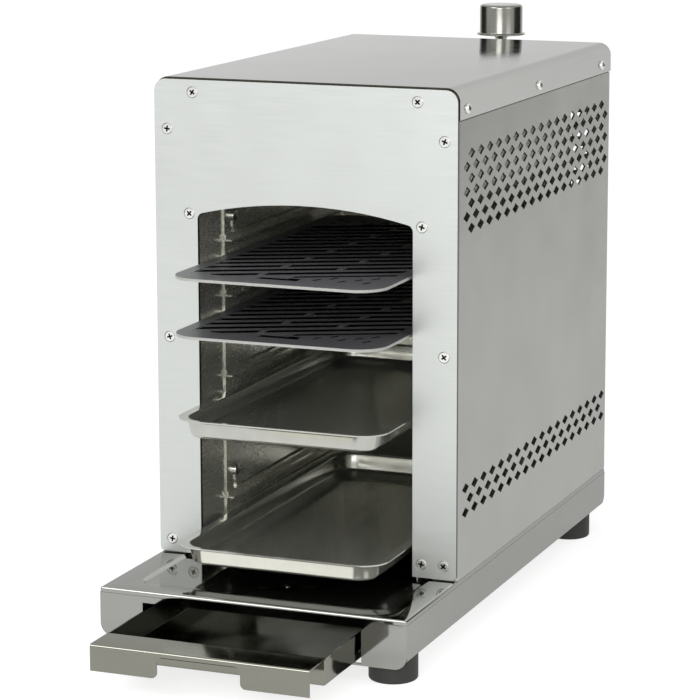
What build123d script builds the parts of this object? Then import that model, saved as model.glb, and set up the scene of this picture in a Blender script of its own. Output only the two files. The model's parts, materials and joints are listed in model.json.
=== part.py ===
from build123d import *
import math
import os

# Gas steak grill: a narrow sheet-steel tower that grills from above.
# Millimetres, +Z up, +X to the right seen from the front, the front faces -Y.
# While it is built, y = 0 is the face of the front panel and z = 0 is the table.
# At the end everything is moved along Y so that the origin is the centre of the
# bounding box's bottom face.

# Sheet gauges
case_t = 1.5
front_t = 3.0
liner_t = 1.2
tray_t = 1.0
grate_t = 2.0
drawer_t = 1.0

# Overall case
case_w = 235.0
case_depth = 369.5
panel_h = 354.5
panel_corner_r = 9.0
panel_low_r = 3.0
panel_gap = 1.0

# Base chassis
foot_h = 19.0
foot_r = 17.5
foot_edge = 1.5
foot_inset = 17.5
foot_front_y = -80.0
foot_rear_gap = 44.5
side_drop = 29.7
front_drop = 36.0
base_reach = 100.5
base_bend_r = 3.0
base_corner_r = 9.5
base_heel_r = 7.0
return_w = 33.3
base_screw_inset = 8.5
base_screw_front = 70.0
base_screw_back_gap = 79.5
return_end_gap = 8.0
recess_depth = 1.5
recess_border = 5.0
recess_side_margin = 19.0
recess_front_margin = 17.5
recess_back_margin = 24.0
recess_r = 12.0
funnel_r = 26.0
funnel_hole_r = 3.5
funnel_depth = 4.0
funnel_back = 65.5
spout_h = 2.5

# Drip drawer
drawer_inset = 36.0
drawer_h = 19.5
drawer_len = 185.0
drawer_open = 60.0
drawer_low = 0.3
drawer_side_gap = 1.3
lip_reach = 27.5
lip_drop = 19.0
notch_w = 62.0
notch_h = 15.3
notch_r = 4.0
slot_side_gap = 2.4
slot_top_gap = 4.7
slot_sill = 1.7
rail_ledge = 7.0
rail_foot_gap = 1.5

# Front panel opening
opening_inset = 33.6
opening_drop = 11.6
opening_rise = 10.3
opening_r = 5.0

# Screws: countersunk on the front, low round heads on the cover and the back
screw_r = 2.0
sink_head_r = 4.2
sink_depth = 2.4
screw_len = 9.0
screw_fit = 0.1
head_sides = 16
round_head_r = 3.9
round_head_h = 2.2
side_screw_inset = 9.9
side_screw_drop = 36.5
side_screw_mid_z = 163.6
hood_screw_inset = 30.3
hood_screw_drop = 9.2
liner_screw_inset = 26.9
liner_screw_drop = 11.6
low_screw_z = 9.7

# Side panels
front_flange_w = 19.5
rear_flange_w = 16.0
floor_flange_w = 15.0
side_bend_r = 1.8
hole_w = 15.0
hole_h = 7.8
hole_pitch_y = 19.8
hole_pitch_z = 9.0
hole_first_y = 19.6
hole_back_gap = 13.0
top_rows = 7
top_row_drop = 47.1
low_rows = 3
low_row_z = 64.2

# Top cover
cover_rise = 1.3
cover_out = 0.4
cover_front_gap = 0.5
cover_bend_r = 10.0
cover_skirt = 22.8
skirt_gap = 0.8
cover_screw_front = 19.2
cover_screw_back_gap = 25.7
cover_screw_drop = 15.8

# Rear panel
vent_inset = 42.5
vent_h = 6.0
vent_pitch = 14.0
vent_rows = 6
vent_low_z = 40.0
side_vent_w = 24.0
side_vent_inset = 28.5
side_vent_rows = 5
side_vent_drop = 115.5
rear_screw_low_z = 20.0
rear_screw_mid_z = 175.0
rear_screw_drop = 34.5

# Grill chamber
chamber_inset = 31.5
chamber_back_gap = 38.5
burner_space = 86.5
liner_flange = 9.8
post_w = 27.0
post_front_y = 49.0
post_back_gap = 18.0
post_low = 6.0
bolt_head_r = 4.3
bolt_head_h = 3.3
bolt_shank_r = 2.4
bolt_low_z = 50.7
bolt_drop = 21.5
keyhole_r = 4.6
keyhole_drop = 13.0
ledge_w = 8.6
ledge_web = 8.0
guide_gap = 11.0
guide_w = 5.5
guide_web = 5.0
seat_gap = 0.3

# Trays and grates, as heights above the bottom edge of the front panel
insert_side_gap = 5.0
insert_len = 315.0
lower_tray_z = 21.5
upper_tray_drop = 62.5
lower_grate_drop = 42.0
grate_headroom = 48.0
tray_front_y = -58.0
grate_front_y = -62.0
tray_corner_r = 20.0
tray_side_rim = 6.5
tray_end_rim = 3.0
tray_depth = 14.0
tray_wall_lean = 2.5
tray_floor_r = 4.0
grate_corner_r = 22.0
slot_angle = 25.5
slot_pitch = 16.1
slot_gap_w = 7.7
slot_rows = 6
tie_w = 4.5
tie_lean = 4.3
tie_x = (-14.0, 30.0)
field_side = 11.0
field_end = 23.0
last_slot_start = 3.0
border_slot_len = 31.0
border_slot_w = 8.5
border_slot_x = 3.0
dash_len = 8.0
dash_w = 2.4
dash_angle = 65.0
dash_pitch = 19.0
dash_row_gap = 9.0
dash_rows = 3
dash_side = 19.0
dash_end = 28.5

# Burner
burner_inset = 44.5
burner_back_gap = 43.0
burner_front_y = 60.0
burner_h = 44.0
burner_corner_r = 3.0
burner_screw_inset = 27.1
burner_screw_front = 40.0
burner_screw_back_gap = 35.0
tile_h = 13.0
tile_count = 3
tile_gap = 0.6
tile_edge = 1.0
frame_gap = 0.5
frame_lip = 5.0
mixer_r = 12.0
mixer_t = 1.0
mixer_mouth_r = 17.0
mixer_mouth_len = 16.0
mixer_tail = 30.5
mixer_z = 31.0
hood_top_gap = 14.0
hood_side = 4.0

# Gas valve behind the case
bracket_w = 56.0
bracket_h = 46.0
bracket_reach = 51.5
bracket_ear = 13.0
bracket_t = 2.0
valve_w = 24.0
valve_len = 32.0
valve_h = 36.0
valve_edge_r = 4.0
valve_collar_r = 10.0
valve_collar_h = 7.0
injector_r = 4.0
injector_shank_r = 5.0
injector_hex = 13.0
injector_nut_h = 7.0
injector_tip = 9.0
injector_bore_r = 1.0
plug_r = 7.0
plug_h = 24.0
spindle_r = 4.0
spindle_fit = 0.05
spindle_in = 10.0
spindle_flat = 1.0
inlet_r = 6.58
inlet_bore_r = 3.5
inlet_len = 14.0
inlet_hex = 17.0
inlet_hex_h = 6.0
probe_r = 3.0
probe_len = 58.0
lead_r = 1.5
lead_nut_r = 5.0
lead_nut_len = 6.0
lead_bend = 7.0
lead_side = 48.0
lead_drop = 38.0
lead_gap_y = 16.0

# Control knob
knob_r = 18.2
knob_h = 26.0
knob_edge_r = 2.5
brim_r = 20.6
brim_h = 1.5
knob_drop = 1.3
hub_top_r = 6.2
hub_low_r = 4.6
hub_h = 4.2
knob_bore_h = 8.0
push_travel = 3.5
spring_wire_r = 0.4
spring_r = 3.0
spring_turns = 5
spring_sides = 10
spring_h = 9.0

# Places worked out from the sizes above
half_w = case_w / 2
opening_w = case_w - 2 * opening_inset
chamber_w = case_w - 2 * chamber_inset
burner_w = case_w - 2 * burner_inset
drawer_w = case_w - 2 * drawer_inset
vent_w = case_w - 2 * vent_inset
insert_w = chamber_w - 2 * insert_side_gap
side_screw_x = half_w - side_screw_inset
hood_screw_x = half_w - hood_screw_inset
liner_screw_x = half_w - liner_screw_inset
burner_screw_x = half_w - burner_screw_inset
base_screw_x = half_w - base_screw_inset
side_vent_x = half_w - side_vent_inset
chamber_h = panel_h - burner_space
opening_side_h = chamber_h - opening_drop
upper_grate_z = chamber_h - grate_headroom
lower_grate_z = upper_grate_z - lower_grate_drop
upper_tray_z = lower_grate_z - upper_tray_drop
bolt_z = (bolt_low_z, chamber_h - bolt_drop)
side_screw_z = (panel_h - side_screw_drop, side_screw_mid_z, low_screw_z)
liner_screw_z = (chamber_h - liner_screw_drop, low_screw_z)
hood_screw_z = panel_h - hood_screw_drop
rear_screw_z = (rear_screw_low_z, rear_screw_mid_z, panel_h - rear_screw_drop)
top_row_z = panel_h - top_row_drop
side_vent_z = panel_h - side_vent_drop
knob_z = panel_h - knob_drop
deck_z = foot_h + side_drop
panel_z = deck_z + panel_gap
panel_top = panel_z + panel_h
cover_top = panel_top + cover_rise
cover_under = cover_top - case_t
cover_half = half_w + cover_out
tongue_out = cover_half - case_t - seat_gap
tongue_in = tongue_out - case_t
step_z = cover_top - cover_skirt - skirt_gap
rear_y = case_depth
foot_rear_y = rear_y - foot_rear_gap
base_screw_y = (base_screw_front, rear_y - base_screw_back_gap)
cover_screw_back = rear_y - cover_screw_back_gap
cover_screw_y = (cover_screw_front, (cover_screw_front + cover_screw_back) / 2, cover_screw_back)
hole_count = int((case_depth - hole_first_y - hole_back_gap) / hole_pitch_y) + 1
base_front = -base_reach
recess_z = deck_z - recess_depth
funnel_y = base_front + funnel_back
half_drawer = drawer_w / 2
side_top = cover_top - cover_bend_r
slot_top_z = deck_z - front_drop + slot_sill + drawer_low + drawer_h + slot_top_gap
slot_low_z = deck_z - front_drop + slot_sill
drawer_z = slot_low_z + liner_t + drawer_low
drawer_front = base_front - drawer_open
chamber_half = chamber_w / 2
chamber_top = panel_z + chamber_h
chamber_back = rear_y - chamber_back_gap
post_span = chamber_back - post_back_gap - post_front_y
burner_len = chamber_back - burner_back_gap - burner_front_y
burner_screw_back = chamber_back - burner_screw_back_gap
burner_screw_y = (burner_screw_front, (burner_screw_front + burner_screw_back) / 2, burner_screw_back)
post_face = chamber_half - liner_t
half_insert = insert_w / 2
burner_back_y = burner_front_y + burner_len
burner_z = chamber_top
rim_front_y = front_t + liner_t + seat_gap
rim_back_y = chamber_back + liner_t
mixer_axis_z = burner_z + mixer_z
bracket_end_y = rear_y + bracket_reach
valve_front_y = bracket_end_y
valve_y = valve_front_y + valve_len / 2
valve_low_z = mixer_axis_z - valve_h / 2
valve_top_z = mixer_axis_z + valve_h / 2
brim_z = panel_z + knob_z
hub_z = brim_z - hub_h
collar_z = valve_top_z + valve_collar_h
spindle_low_z = collar_z - spindle_in
slot_rise = math.radians(slot_angle)


def block(x0, x1, y0, y1, z0, z1):
    """Box between two corners."""
    size = (x1 - x0, y1 - y0, z1 - z0)
    return Pos((x0 + x1) / 2, (y0 + y1) / 2, (z0 + z1) / 2) * Box(*size)


def plate_xz(sketch, y0, thick):
    """Sketch drawn as (X, Z), standing from y0 backwards."""
    return extrude(Plane.XZ.offset(-(y0 + thick)) * sketch, thick)


def plate_yz(sketch, x0, thick):
    """Sketch drawn as (Y, Z), standing from x0 to the right."""
    return extrude(Plane.YZ.offset(x0) * sketch, thick)


def rod_y(x, z, radius, y0, y1):
    """Round bar along Y."""
    return extrude(Plane.XZ.offset(-y1) * Pos(x, z) * Circle(radius), y1 - y0)


def rod_x(y, z, radius, x0, x1):
    """Round bar along X."""
    return extrude(Plane.YZ.offset(x0) * Pos(y, z) * Circle(radius), x1 - x0)


def rod_z(x, y, radius, z0, z1):
    """Round bar along Z."""
    return Pos(x, y, z0) * extrude(Circle(radius), z1 - z0)


def stud_y(x, z, radius, y0, y1):
    """Screw shank or screw hole along Y, eight-sided."""
    outline = RegularPolygon(radius, 8, major_radius=False)
    return extrude(Plane.XZ.offset(-y1) * Pos(x, z) * outline, y1 - y0)


def stud_x(y, z, radius, x0, x1):
    """Screw shank or screw hole along X, eight-sided."""
    outline = RegularPolygon(radius, 8, major_radius=False)
    return extrude(Plane.YZ.offset(x0) * Pos(y, z) * outline, x1 - x0)


def stud_z(x, y, radius, z0, z1):
    """Screw shank or screw hole along Z, eight-sided."""
    return Pos(x, y, z0) * extrude(RegularPolygon(radius, 8, major_radius=False), z1 - z0)


def to_left(shape):
    """The left-hand twin of a right-hand piece."""
    return mirror(shape, about=Plane.YZ)


def edges_at(shape, axis, axis_dir, value, other=None, other_value=0.0):
    """Straight edges along axis_dir whose centre lies at value on axis."""
    picked = [e for e in shape.edges().filter_by(axis_dir) if abs(tuple(e.center())[axis] - value) < 0.01]
    if other is not None:
        picked = [e for e in picked if abs(tuple(e.center())[other] - other_value) < 0.01]
    return picked


# Base

def make_base_chassis():
    """Folded deck with a pressed recess, a drain funnel and skirts on four sides."""
    low_z = deck_z - front_drop
    skin = block(-half_w, half_w, base_front, rear_y, low_z, deck_z)
    skin = fillet(skin.faces().sort_by(Axis.Z)[-1].edges(), base_bend_r)
    core = block(-half_w + case_t, half_w - case_t, base_front + case_t, rear_y - case_t, low_z, deck_z - case_t)
    core = fillet(core.faces().sort_by(Axis.Z)[-1].edges(), base_bend_r - case_t)
    shape = skin - core
    shape -= block(-half_w, half_w, base_front + case_t, rear_y, low_z, foot_h)
    shape -= heel_cut()
    shape -= front_corner_cut()
    for side in (-1, 1):
        inner = side * (half_w - return_w)
        outer = side * (half_w - case_t / 2)
        shape += block(min(inner, outer), max(inner, outer), base_front + return_end_gap,
                       rear_y - return_end_gap, foot_h, foot_h + case_t)
    shape += recess_form(recess_z, recess_z - case_t)
    shape -= recess_form(deck_z, recess_z)
    cone_low = recess_z - funnel_depth
    bowl_h = funnel_depth
    shape += Pos(0, funnel_y, cone_low - case_t + bowl_h / 2) * Cone(funnel_hole_r + case_t, funnel_r + case_t, bowl_h)
    shape -= Pos(0, funnel_y, cone_low + bowl_h / 2) * Cone(funnel_hole_r, funnel_r, bowl_h)
    shape += rod_z(0, funnel_y, funnel_hole_r + case_t, cone_low - spout_h, cone_low)
    shape -= rod_z(0, funnel_y, funnel_hole_r, cone_low - spout_h, recess_z)
    slot_half = half_drawer + slot_side_gap
    shape -= block(-slot_half, slot_half, base_front, base_front + case_t, slot_low_z, slot_top_z)
    for x, y in foot_places():
        shape -= stud_z(x, y, screw_r + screw_fit, foot_h, foot_h + case_t)
    for x, y in base_screw_places():
        shape -= stud_z(x, y, screw_r + screw_fit, deck_z - case_t, deck_z)
    return shape


def recess_form(top_z, floor_z):
    """Tapered block of the pressed recess between two heights."""
    width = case_w - 2 * recess_side_margin
    front = base_front + recess_front_margin
    length = rear_y - recess_back_margin - front
    centre = front + length / 2
    upper = Pos(0, centre, top_z) * RectangleRounded(width, length, recess_r)
    lower = Pos(0, centre, floor_z) * RectangleRounded(width - 2 * recess_border, length - 2 * recess_border,
                                                       recess_r - recess_border)
    return loft([upper, lower])


def heel_cut():
    """What rounds the lower rear corner of both side skirts."""
    square = Pos(rear_y - base_heel_r / 2, foot_h + base_heel_r / 2) * Rectangle(base_heel_r, base_heel_r)
    square -= Pos(rear_y - base_heel_r, foot_h + base_heel_r) * Circle(base_heel_r)
    return plate_yz(square, -half_w, case_w)


def front_corner_cut():
    """What rounds the two lower corners of the front skirt."""
    low_z = deck_z - front_drop
    cut = Sketch()
    for side in (-1, 1):
        corner = Pos(side * (half_w - base_corner_r / 2), low_z + base_corner_r / 2)
        piece = corner * Rectangle(base_corner_r, base_corner_r)
        piece -= Pos(side * (half_w - base_corner_r), low_z + base_corner_r) * Circle(base_corner_r)
        cut += piece
    return plate_xz(cut, base_front, case_t)


def foot_places():
    """Centres of the four feet."""
    x = half_w - foot_inset
    return [(side * x, y) for y in (foot_front_y, foot_rear_y) for side in (-1, 1)]


def base_screw_places():
    """Centres of the four screws that hold the side panels to the deck."""
    return [(side * base_screw_x, y) for y in base_screw_y for side in (-1, 1)]


def make_base_screws():
    """Four screws up through the border of the deck into the side panels."""
    parts = []
    for x, y in base_screw_places():
        head_z = deck_z - case_t
        head = rod_z(x, y, round_head_r, head_z - round_head_h, head_z)
        parts.append(head + stud_z(x, y, screw_r, head_z, deck_z + case_t + screw_r))
    return Compound(parts)


def make_foot(x, y):
    """Round rubber foot with a softened lower edge and a screw pocket."""
    foot = rod_z(x, y, foot_r, 0, foot_h)
    foot = chamfer(foot.edges().sort_by(Axis.Z)[0], foot_edge)
    foot -= rod_z(x, y, round_head_r + screw_fit, 0, foot_h / 2)
    foot -= stud_z(x, y, screw_r + screw_fit, foot_h / 2, foot_h)
    return foot


def make_foot_screws():
    """Four screws up through the feet into the base."""
    parts = []
    for x, y in foot_places():
        head = rod_z(x, y, round_head_r, foot_h / 2 - round_head_h, foot_h / 2)
        parts.append(head + stud_z(x, y, screw_r, foot_h / 2, foot_h + case_t + 2 * screw_r))
    return Compound(parts)


def make_drawer_rail():
    """Right-hand angle that carries one lower edge of the drawer."""
    face = half_drawer + drawer_side_gap
    ledge_top = drawer_z - drawer_low
    start_y = foot_front_y + foot_r + rail_foot_gap
    end_y = base_front + drawer_len + drawer_side_gap + liner_t
    rail = block(face, face + liner_t, start_y, end_y, ledge_top - liner_t, recess_z - case_t)
    rail += block(face - rail_ledge, face, start_y, end_y, ledge_top - liner_t, ledge_top)
    rail += block(face - rail_ledge, face, end_y - liner_t, end_y, ledge_top, drawer_z + drawer_h)
    return rail


# Drawer

def make_drip_drawer():
    """Open sheet pan with a forward lip that turns down into a notched grip."""
    back_y = drawer_front + drawer_len
    top_z = drawer_z + drawer_h
    pan = block(-half_drawer, half_drawer, drawer_front, back_y, drawer_z, top_z)
    pan = fillet(pan.faces().sort_by(Axis.Z)[0].edges(), drawer_t)
    pan -= block(-half_drawer + drawer_t, half_drawer - drawer_t, drawer_front + drawer_t,
                 back_y - drawer_t, drawer_z + drawer_t, top_z)
    grip_y = drawer_front - lip_reach
    grip = block(-half_drawer, half_drawer, grip_y, drawer_front + drawer_t, top_z - lip_drop, top_z)
    grip = fillet(edges_at(grip, 2, Axis.X, top_z, 1, grip_y), 2 * drawer_t)
    hollow = block(-half_drawer, half_drawer, grip_y + drawer_t, drawer_front, top_z - lip_drop, top_z - drawer_t)
    hollow = fillet(edges_at(hollow, 2, Axis.X, top_z - drawer_t, 1, grip_y + drawer_t), drawer_t)
    grip -= hollow
    grip -= block(-half_drawer, half_drawer, drawer_front, drawer_front + drawer_t, top_z - lip_drop, drawer_z + drawer_t)
    grip -= plate_xz(notch_outline(top_z), grip_y, drawer_t)
    return pan + grip


def notch_outline(top_z):
    """Finger notch in the grip: rounded inside at its top, flared round at its foot."""
    low_z = top_z - lip_drop
    notch = Pos(0, low_z + notch_h / 2) * Rectangle(notch_w, notch_h)
    notch = fillet(notch.vertices().sort_by(Axis.Y)[-2:], notch_r)
    for side in (-1, 1):
        corner = Pos(side * (notch_w / 2 + notch_r / 2), low_z + notch_r / 2)
        flare = corner * Rectangle(notch_r, notch_r)
        flare -= Pos(side * (notch_w / 2 + notch_r), low_z + notch_r) * Circle(notch_r)
        notch += flare
    return notch


# Case

def screw_places():
    """Centres (x, z) of the countersunk screws of the front panel, on the right-hand half."""
    places = [(side_screw_x, panel_z + z) for z in side_screw_z]
    places += [(liner_screw_x, panel_z + z) for z in liner_screw_z]
    places.append((hood_screw_x, panel_z + hood_screw_z))
    return places


def sink_screw(x, z, fit):
    """Countersunk screw along Y from the front face, or the hole for it when fit is not 0."""
    wide = Plane.XZ * Pos(x, z) * RegularPolygon(sink_head_r + fit, head_sides)
    narrow = Plane.XZ.offset(-sink_depth) * Pos(x, z) * RegularPolygon(screw_r + fit, head_sides)
    return loft([wide, narrow]) + stud_y(x, z, screw_r + fit, 0, screw_len)


def make_front_panel():
    """Thick front plate: two legs joined over a low arch, open at its foot."""
    sheet = Pos(0, panel_z + panel_h / 2) * Rectangle(case_w, panel_h)
    corners = sheet.vertices().sort_by(Axis.Y)
    sheet = fillet(corners[-2:], panel_corner_r)
    sheet = fillet(sheet.vertices().sort_by(Axis.Y)[:2], panel_low_r)
    sheet -= arch_outline()
    plate = plate_xz(sheet, 0, front_t)
    for x, z in screw_places():
        plate -= sink_screw(x, z, screw_fit)
        plate -= sink_screw(-x, z, screw_fit)
    return plate


def arch_outline():
    """Opening of the front panel: straight sides under a shallow arc."""
    half = opening_w / 2
    side_z = panel_z + opening_side_h
    low_z = panel_z - panel_gap
    outline = Line((-half, low_z), (half, low_z))
    outline += Line((half, low_z), (half, side_z))
    outline += ThreePointArc((half, side_z), (0, side_z + opening_rise), (-half, side_z))
    outline += Line((-half, side_z), (-half, low_z))
    face = make_face(outline)
    tops = [v for v in face.vertices() if abs(v.Y - side_z) < 0.01]
    return fillet(tops, opening_r)


def make_front_panel_screws():
    """Twelve countersunk screws."""
    parts = []
    for x, z in screw_places():
        for side in (-1, 1):
            parts.append(sink_screw(side * x, z, 0))
    return Compound(parts)


def rhombus_rows(first_z, rows, wide_first):
    """Staggered rows of rhombus holes, drawn as (Y, Z)."""
    holes = []
    for row in range(rows):
        wide = (row % 2 == 0) == wide_first
        count = hole_count if wide else hole_count - 1
        start = hole_first_y if wide else hole_first_y + hole_pitch_y / 2
        z = panel_z + first_z - row * hole_pitch_z
        for k in range(count):
            y = start + k * hole_pitch_y
            points = [(y - hole_w / 2, z), (y, z - hole_h / 2), (y + hole_w / 2, z), (y, z + hole_h / 2)]
            holes.append(make_face(Polyline(*points, close=True)))
    return holes


def make_side_panel():
    """Right-hand side: folded flanges, two rhombus grilles and a top edge set in behind the cover's skirt."""
    outer = half_w
    low_z = deck_z
    web = block(outer - case_t, outer, front_t, rear_y, low_z, step_z)
    front = block(outer - front_flange_w, outer, front_t, front_t + case_t, low_z, step_z)
    rear = block(outer - rear_flange_w, outer, rear_y - case_t, rear_y, low_z, step_z)
    flange_end = 4 * case_t
    floor = block(outer - floor_flange_w, outer, front_t + flange_end, rear_y - flange_end, low_z, low_z + case_t)
    shell = web + front + rear + floor
    bends = edges_at(shell, 0, Axis.Z, outer)
    shell = fillet(bends, side_bend_r)
    shell += block(tongue_in, outer - case_t / 2, front_t + case_t, rear_y - case_t, step_z - case_t, step_z)
    shell += block(tongue_in, tongue_out, front_t, rear_y, step_z - case_t, side_top)
    shell += block(outer - front_flange_w, tongue_out, front_t, front_t + case_t, step_z - case_t, side_top)
    shell += block(outer - rear_flange_w, tongue_out, rear_y - case_t, rear_y, step_z - case_t, side_top)
    holes = rhombus_rows(top_row_z, top_rows, False) + rhombus_rows(low_row_z, low_rows, True)
    shell -= [extrude(Plane.YZ.offset(outer - case_t) * face, case_t) for face in holes]
    screw_z = cover_top - cover_screw_drop
    for y in cover_screw_y:
        shell -= stud_x(y, screw_z, screw_r + screw_fit, tongue_in, tongue_out)
    for z in side_screw_z:
        shell -= stud_y(side_screw_x, panel_z + z, screw_r + screw_fit, front_t, front_t + case_t)
    for y in base_screw_y:
        shell -= stud_z(base_screw_x, y, screw_r + screw_fit, low_z, low_z + case_t)
    for z in rear_screw_z:
        shell -= stud_y(outer - rear_flange_w / 2, panel_z + z, screw_r + screw_fit, rear_y - case_t, rear_y)
    return shell


def make_top_cover():
    """Folded lid behind the front panel: flat top, rounded long edges and skirts flush with the sides."""
    outer = cover_half
    inner = outer - case_t
    low_z = cover_top - cover_skirt
    front_y = front_t + cover_front_gap
    skin = block(-outer, outer, front_y, rear_y, low_z, cover_top)
    skin = fillet(edges_at(skin, 2, Axis.Y, cover_top), cover_bend_r)
    core = block(-inner, inner, front_y, rear_y, low_z, cover_under)
    core = fillet(edges_at(core, 2, Axis.Y, cover_under), cover_bend_r - case_t)
    lid = skin - core
    for y in cover_screw_y:
        for side in (-1, 1):
            x0 = min(side * inner, side * outer)
            lid -= stud_x(y, cover_top - cover_screw_drop, screw_r + screw_fit, x0, x0 + case_t)
    return lid


def round_screw(head_h):
    """Screw along +Z: domed head above z = 0, shank below."""
    head = extrude(RegularPolygon(round_head_r, head_sides), head_h)
    head = chamfer(head.faces().sort_by(Axis.Z)[-1].edges(), head_h / 2)
    return head + stud_z(0, 0, screw_r, -screw_len + front_t, 0)


def make_cover_screws():
    """Six low screws through the skirts of the cover."""
    z = cover_top - cover_screw_drop
    screw = round_screw(round_head_h)
    parts = []
    for y in cover_screw_y:
        parts.append(Pos(cover_half, y, z) * Rot(0, 90, 0) * screw)
        parts.append(Pos(-cover_half, y, z) * Rot(0, -90, 0) * screw)
    return Compound(parts)


def vent_outline(wide):
    """Punched vent slot with cut corners."""
    outline = Rectangle(wide, vent_h)
    return chamfer(outline.vertices(), vent_h / 3)


def make_rear_panel():
    """Flat back with vent slots and holes for the mixing tube, the lead and the bracket."""
    half = tongue_in - seat_gap
    face_y = rear_y - case_t
    sheet = Pos(0, (panel_z + panel_top) / 2) * Rectangle(2 * half, panel_h - 2 * panel_gap)
    sheet = fillet(sheet.vertices().sort_by(Axis.Y)[-2:], cover_bend_r)
    for k in range(vent_rows):
        sheet -= Pos(0, panel_z + vent_low_z + k * vent_pitch) * vent_outline(vent_w)
    for k in range(side_vent_rows):
        for side in (-1, 1):
            place = Pos(side * side_vent_x, panel_z + side_vent_z + k * vent_pitch)
            sheet -= place * vent_outline(side_vent_w)
    sheet -= Pos(0, mixer_axis_z) * Circle(mixer_r + mixer_t)
    sheet -= Pos(lead_side, mixer_axis_z) * Circle(2 * lead_r)
    for x, z in bracket_screw_places():
        sheet -= Pos(x, z) * RegularPolygon(screw_r + screw_fit, 8, major_radius=False)
    for z in rear_screw_z:
        for side in (-1, 1):
            place = Pos(side * (half_w - rear_flange_w / 2), panel_z + z)
            sheet -= place * RegularPolygon(screw_r + screw_fit, 8, major_radius=False)
    return plate_xz(sheet, face_y - case_t, case_t)


def make_rear_screws():
    """Six screws that hold the rear panel to the side panels."""
    screw = round_screw(round_head_h)
    parts = []
    for z in rear_screw_z:
        for side in (-1, 1):
            parts.append(Pos(side * (half_w - rear_flange_w / 2), rear_y, panel_z + z) * Rot(-90, 0, 0) * screw)
    return Compound(parts)


# Grill chamber

def make_inner_wall():
    """Right-hand liner with its front and rear edges folded outwards."""
    face = chamber_half
    wall = block(face, face + liner_t, front_t, chamber_back, recess_z, chamber_top)
    wall += block(face, face + liner_t + liner_flange, front_t, front_t + liner_t, panel_z, chamber_top)
    wall += block(face, face + liner_t + liner_flange, chamber_back - liner_t, chamber_back, panel_z, chamber_top)
    wall += block(face, face + liner_t + liner_flange, front_t, chamber_back, chamber_top - liner_t, chamber_top)
    for y in burner_screw_y:
        wall -= stud_z(burner_screw_x, y, screw_r + screw_fit, chamber_top - liner_t, chamber_top)
    for z in liner_screw_z:
        wall -= stud_y(liner_screw_x, panel_z + z, screw_r + screw_fit, front_t, front_t + liner_t)
    for y in post_bolt_ys():
        for z in bolt_z:
            wall -= stud_x(y, panel_z + z, bolt_shank_r + screw_fit, face, face + liner_t)
    return wall


def make_inner_rear_wall():
    """Rear liner behind the chamber, with the hole for the flame probe."""
    half = chamber_half + liner_t + liner_flange
    wall = block(-half, half, chamber_back, chamber_back + liner_t, panel_z, chamber_top)
    probe_z = mixer_axis_z - lead_drop
    wall -= rod_y(lead_side, probe_z, probe_r + screw_fit, chamber_back, chamber_back + liner_t)
    return wall


def post_ys():
    """Front edges of the front and the rear rack post."""
    return [post_front_y, post_front_y + post_span - post_w]


def post_bolt_ys():
    """Bolt centre line of each post."""
    return [post_front_y + post_w / 2, post_front_y + post_span - post_w / 2]


def make_rack_posts():
    """Right-hand pair of rack posts, hung on shoulder bolts by keyholes."""
    parts = []
    low_z = panel_z + post_low
    for y0, y in zip(post_ys(), post_bolt_ys()):
        post = block(post_face, chamber_half, y0, y0 + post_w, low_z, chamber_top - post_low)
        for z in bolt_z:
            neck = bolt_shank_r + screw_fit
            key = Pos(y, panel_z + z) * Circle(neck)
            key += Pos(y, panel_z + z - keyhole_drop / 2) * Rectangle(2 * neck, keyhole_drop)
            key += Pos(y, panel_z + z - keyhole_drop) * Circle(keyhole_r)
            post -= plate_yz(key, post_face, liner_t)
        parts.append(post)
    return Compound(parts)


def make_rack_bolts():
    """Eight shoulder bolts that carry the rack posts."""
    parts = []
    for y in post_bolt_ys():
        for z in bolt_z:
            bolt = rod_x(y, panel_z + z, bolt_head_r, post_face - bolt_head_h, post_face)
            bolt += stud_x(y, panel_z + z, bolt_shank_r, post_face, chamber_half + 4 * liner_t)
            parts.append(bolt)
            parts.append(to_left(bolt))
    return Compound(parts)


def make_rail(seat_z):
    """Right-hand angle rail whose top face lies just under an insert."""
    inner = post_face - ledge_w
    y0, y1 = post_front_y, post_front_y + post_span
    rail = block(inner, post_face, y0, y1, seat_z - liner_t, seat_z)
    rail += block(post_face - liner_t, post_face, y0, y1, seat_z - ledge_web, seat_z)
    return rail


def make_guides(seats):
    """Right-hand angles above the rails, which stop the inserts from tipping."""
    y0, y1 = post_front_y, post_front_y + post_span
    parts = []
    for seat_z in seats:
        low = seat_z + guide_gap
        guide = block(post_face - guide_w, post_face, y0, y1, low, low + liner_t)
        guide += block(post_face - liner_t, post_face, y0, y1, low, low + guide_web)
        parts.append(guide)
    return Compound(parts)


# Trays and grates

def make_tray(rim_z):
    """Drawn pan with a rolled-flat rim, rim_z being the top face of the rim."""
    centre_y = tray_front_y + insert_len / 2
    rim = Pos(0, centre_y, rim_z - tray_t) * extrude(RectangleRounded(insert_w, insert_len, tray_corner_r), tray_t)
    wide = insert_w - 2 * tray_side_rim
    long = insert_len - 2 * tray_end_rim
    outer = pan_form(wide, long, tray_corner_r - tray_end_rim, rim_z, tray_depth)
    inner = pan_form(wide - 2 * tray_t, long - 2 * tray_t, tray_corner_r - tray_end_rim - tray_t,
                     rim_z, tray_depth - tray_t)
    return rim + outer - inner


def pan_form(wide, long, corner, top_z, depth):
    """Tapered pan with rounded corners and a rounded floor edge."""
    centre_y = tray_front_y + insert_len / 2
    top = Pos(0, centre_y, top_z) * RectangleRounded(wide, long, corner)
    lean = 2 * tray_wall_lean * depth / tray_depth
    low = Pos(0, centre_y, top_z - depth) * RectangleRounded(wide - lean, long - lean, corner - lean / 2)
    form = loft([low, top])
    return fillet(form.faces().sort_by(Axis.Z)[0].edges(), tray_floor_r)


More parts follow.
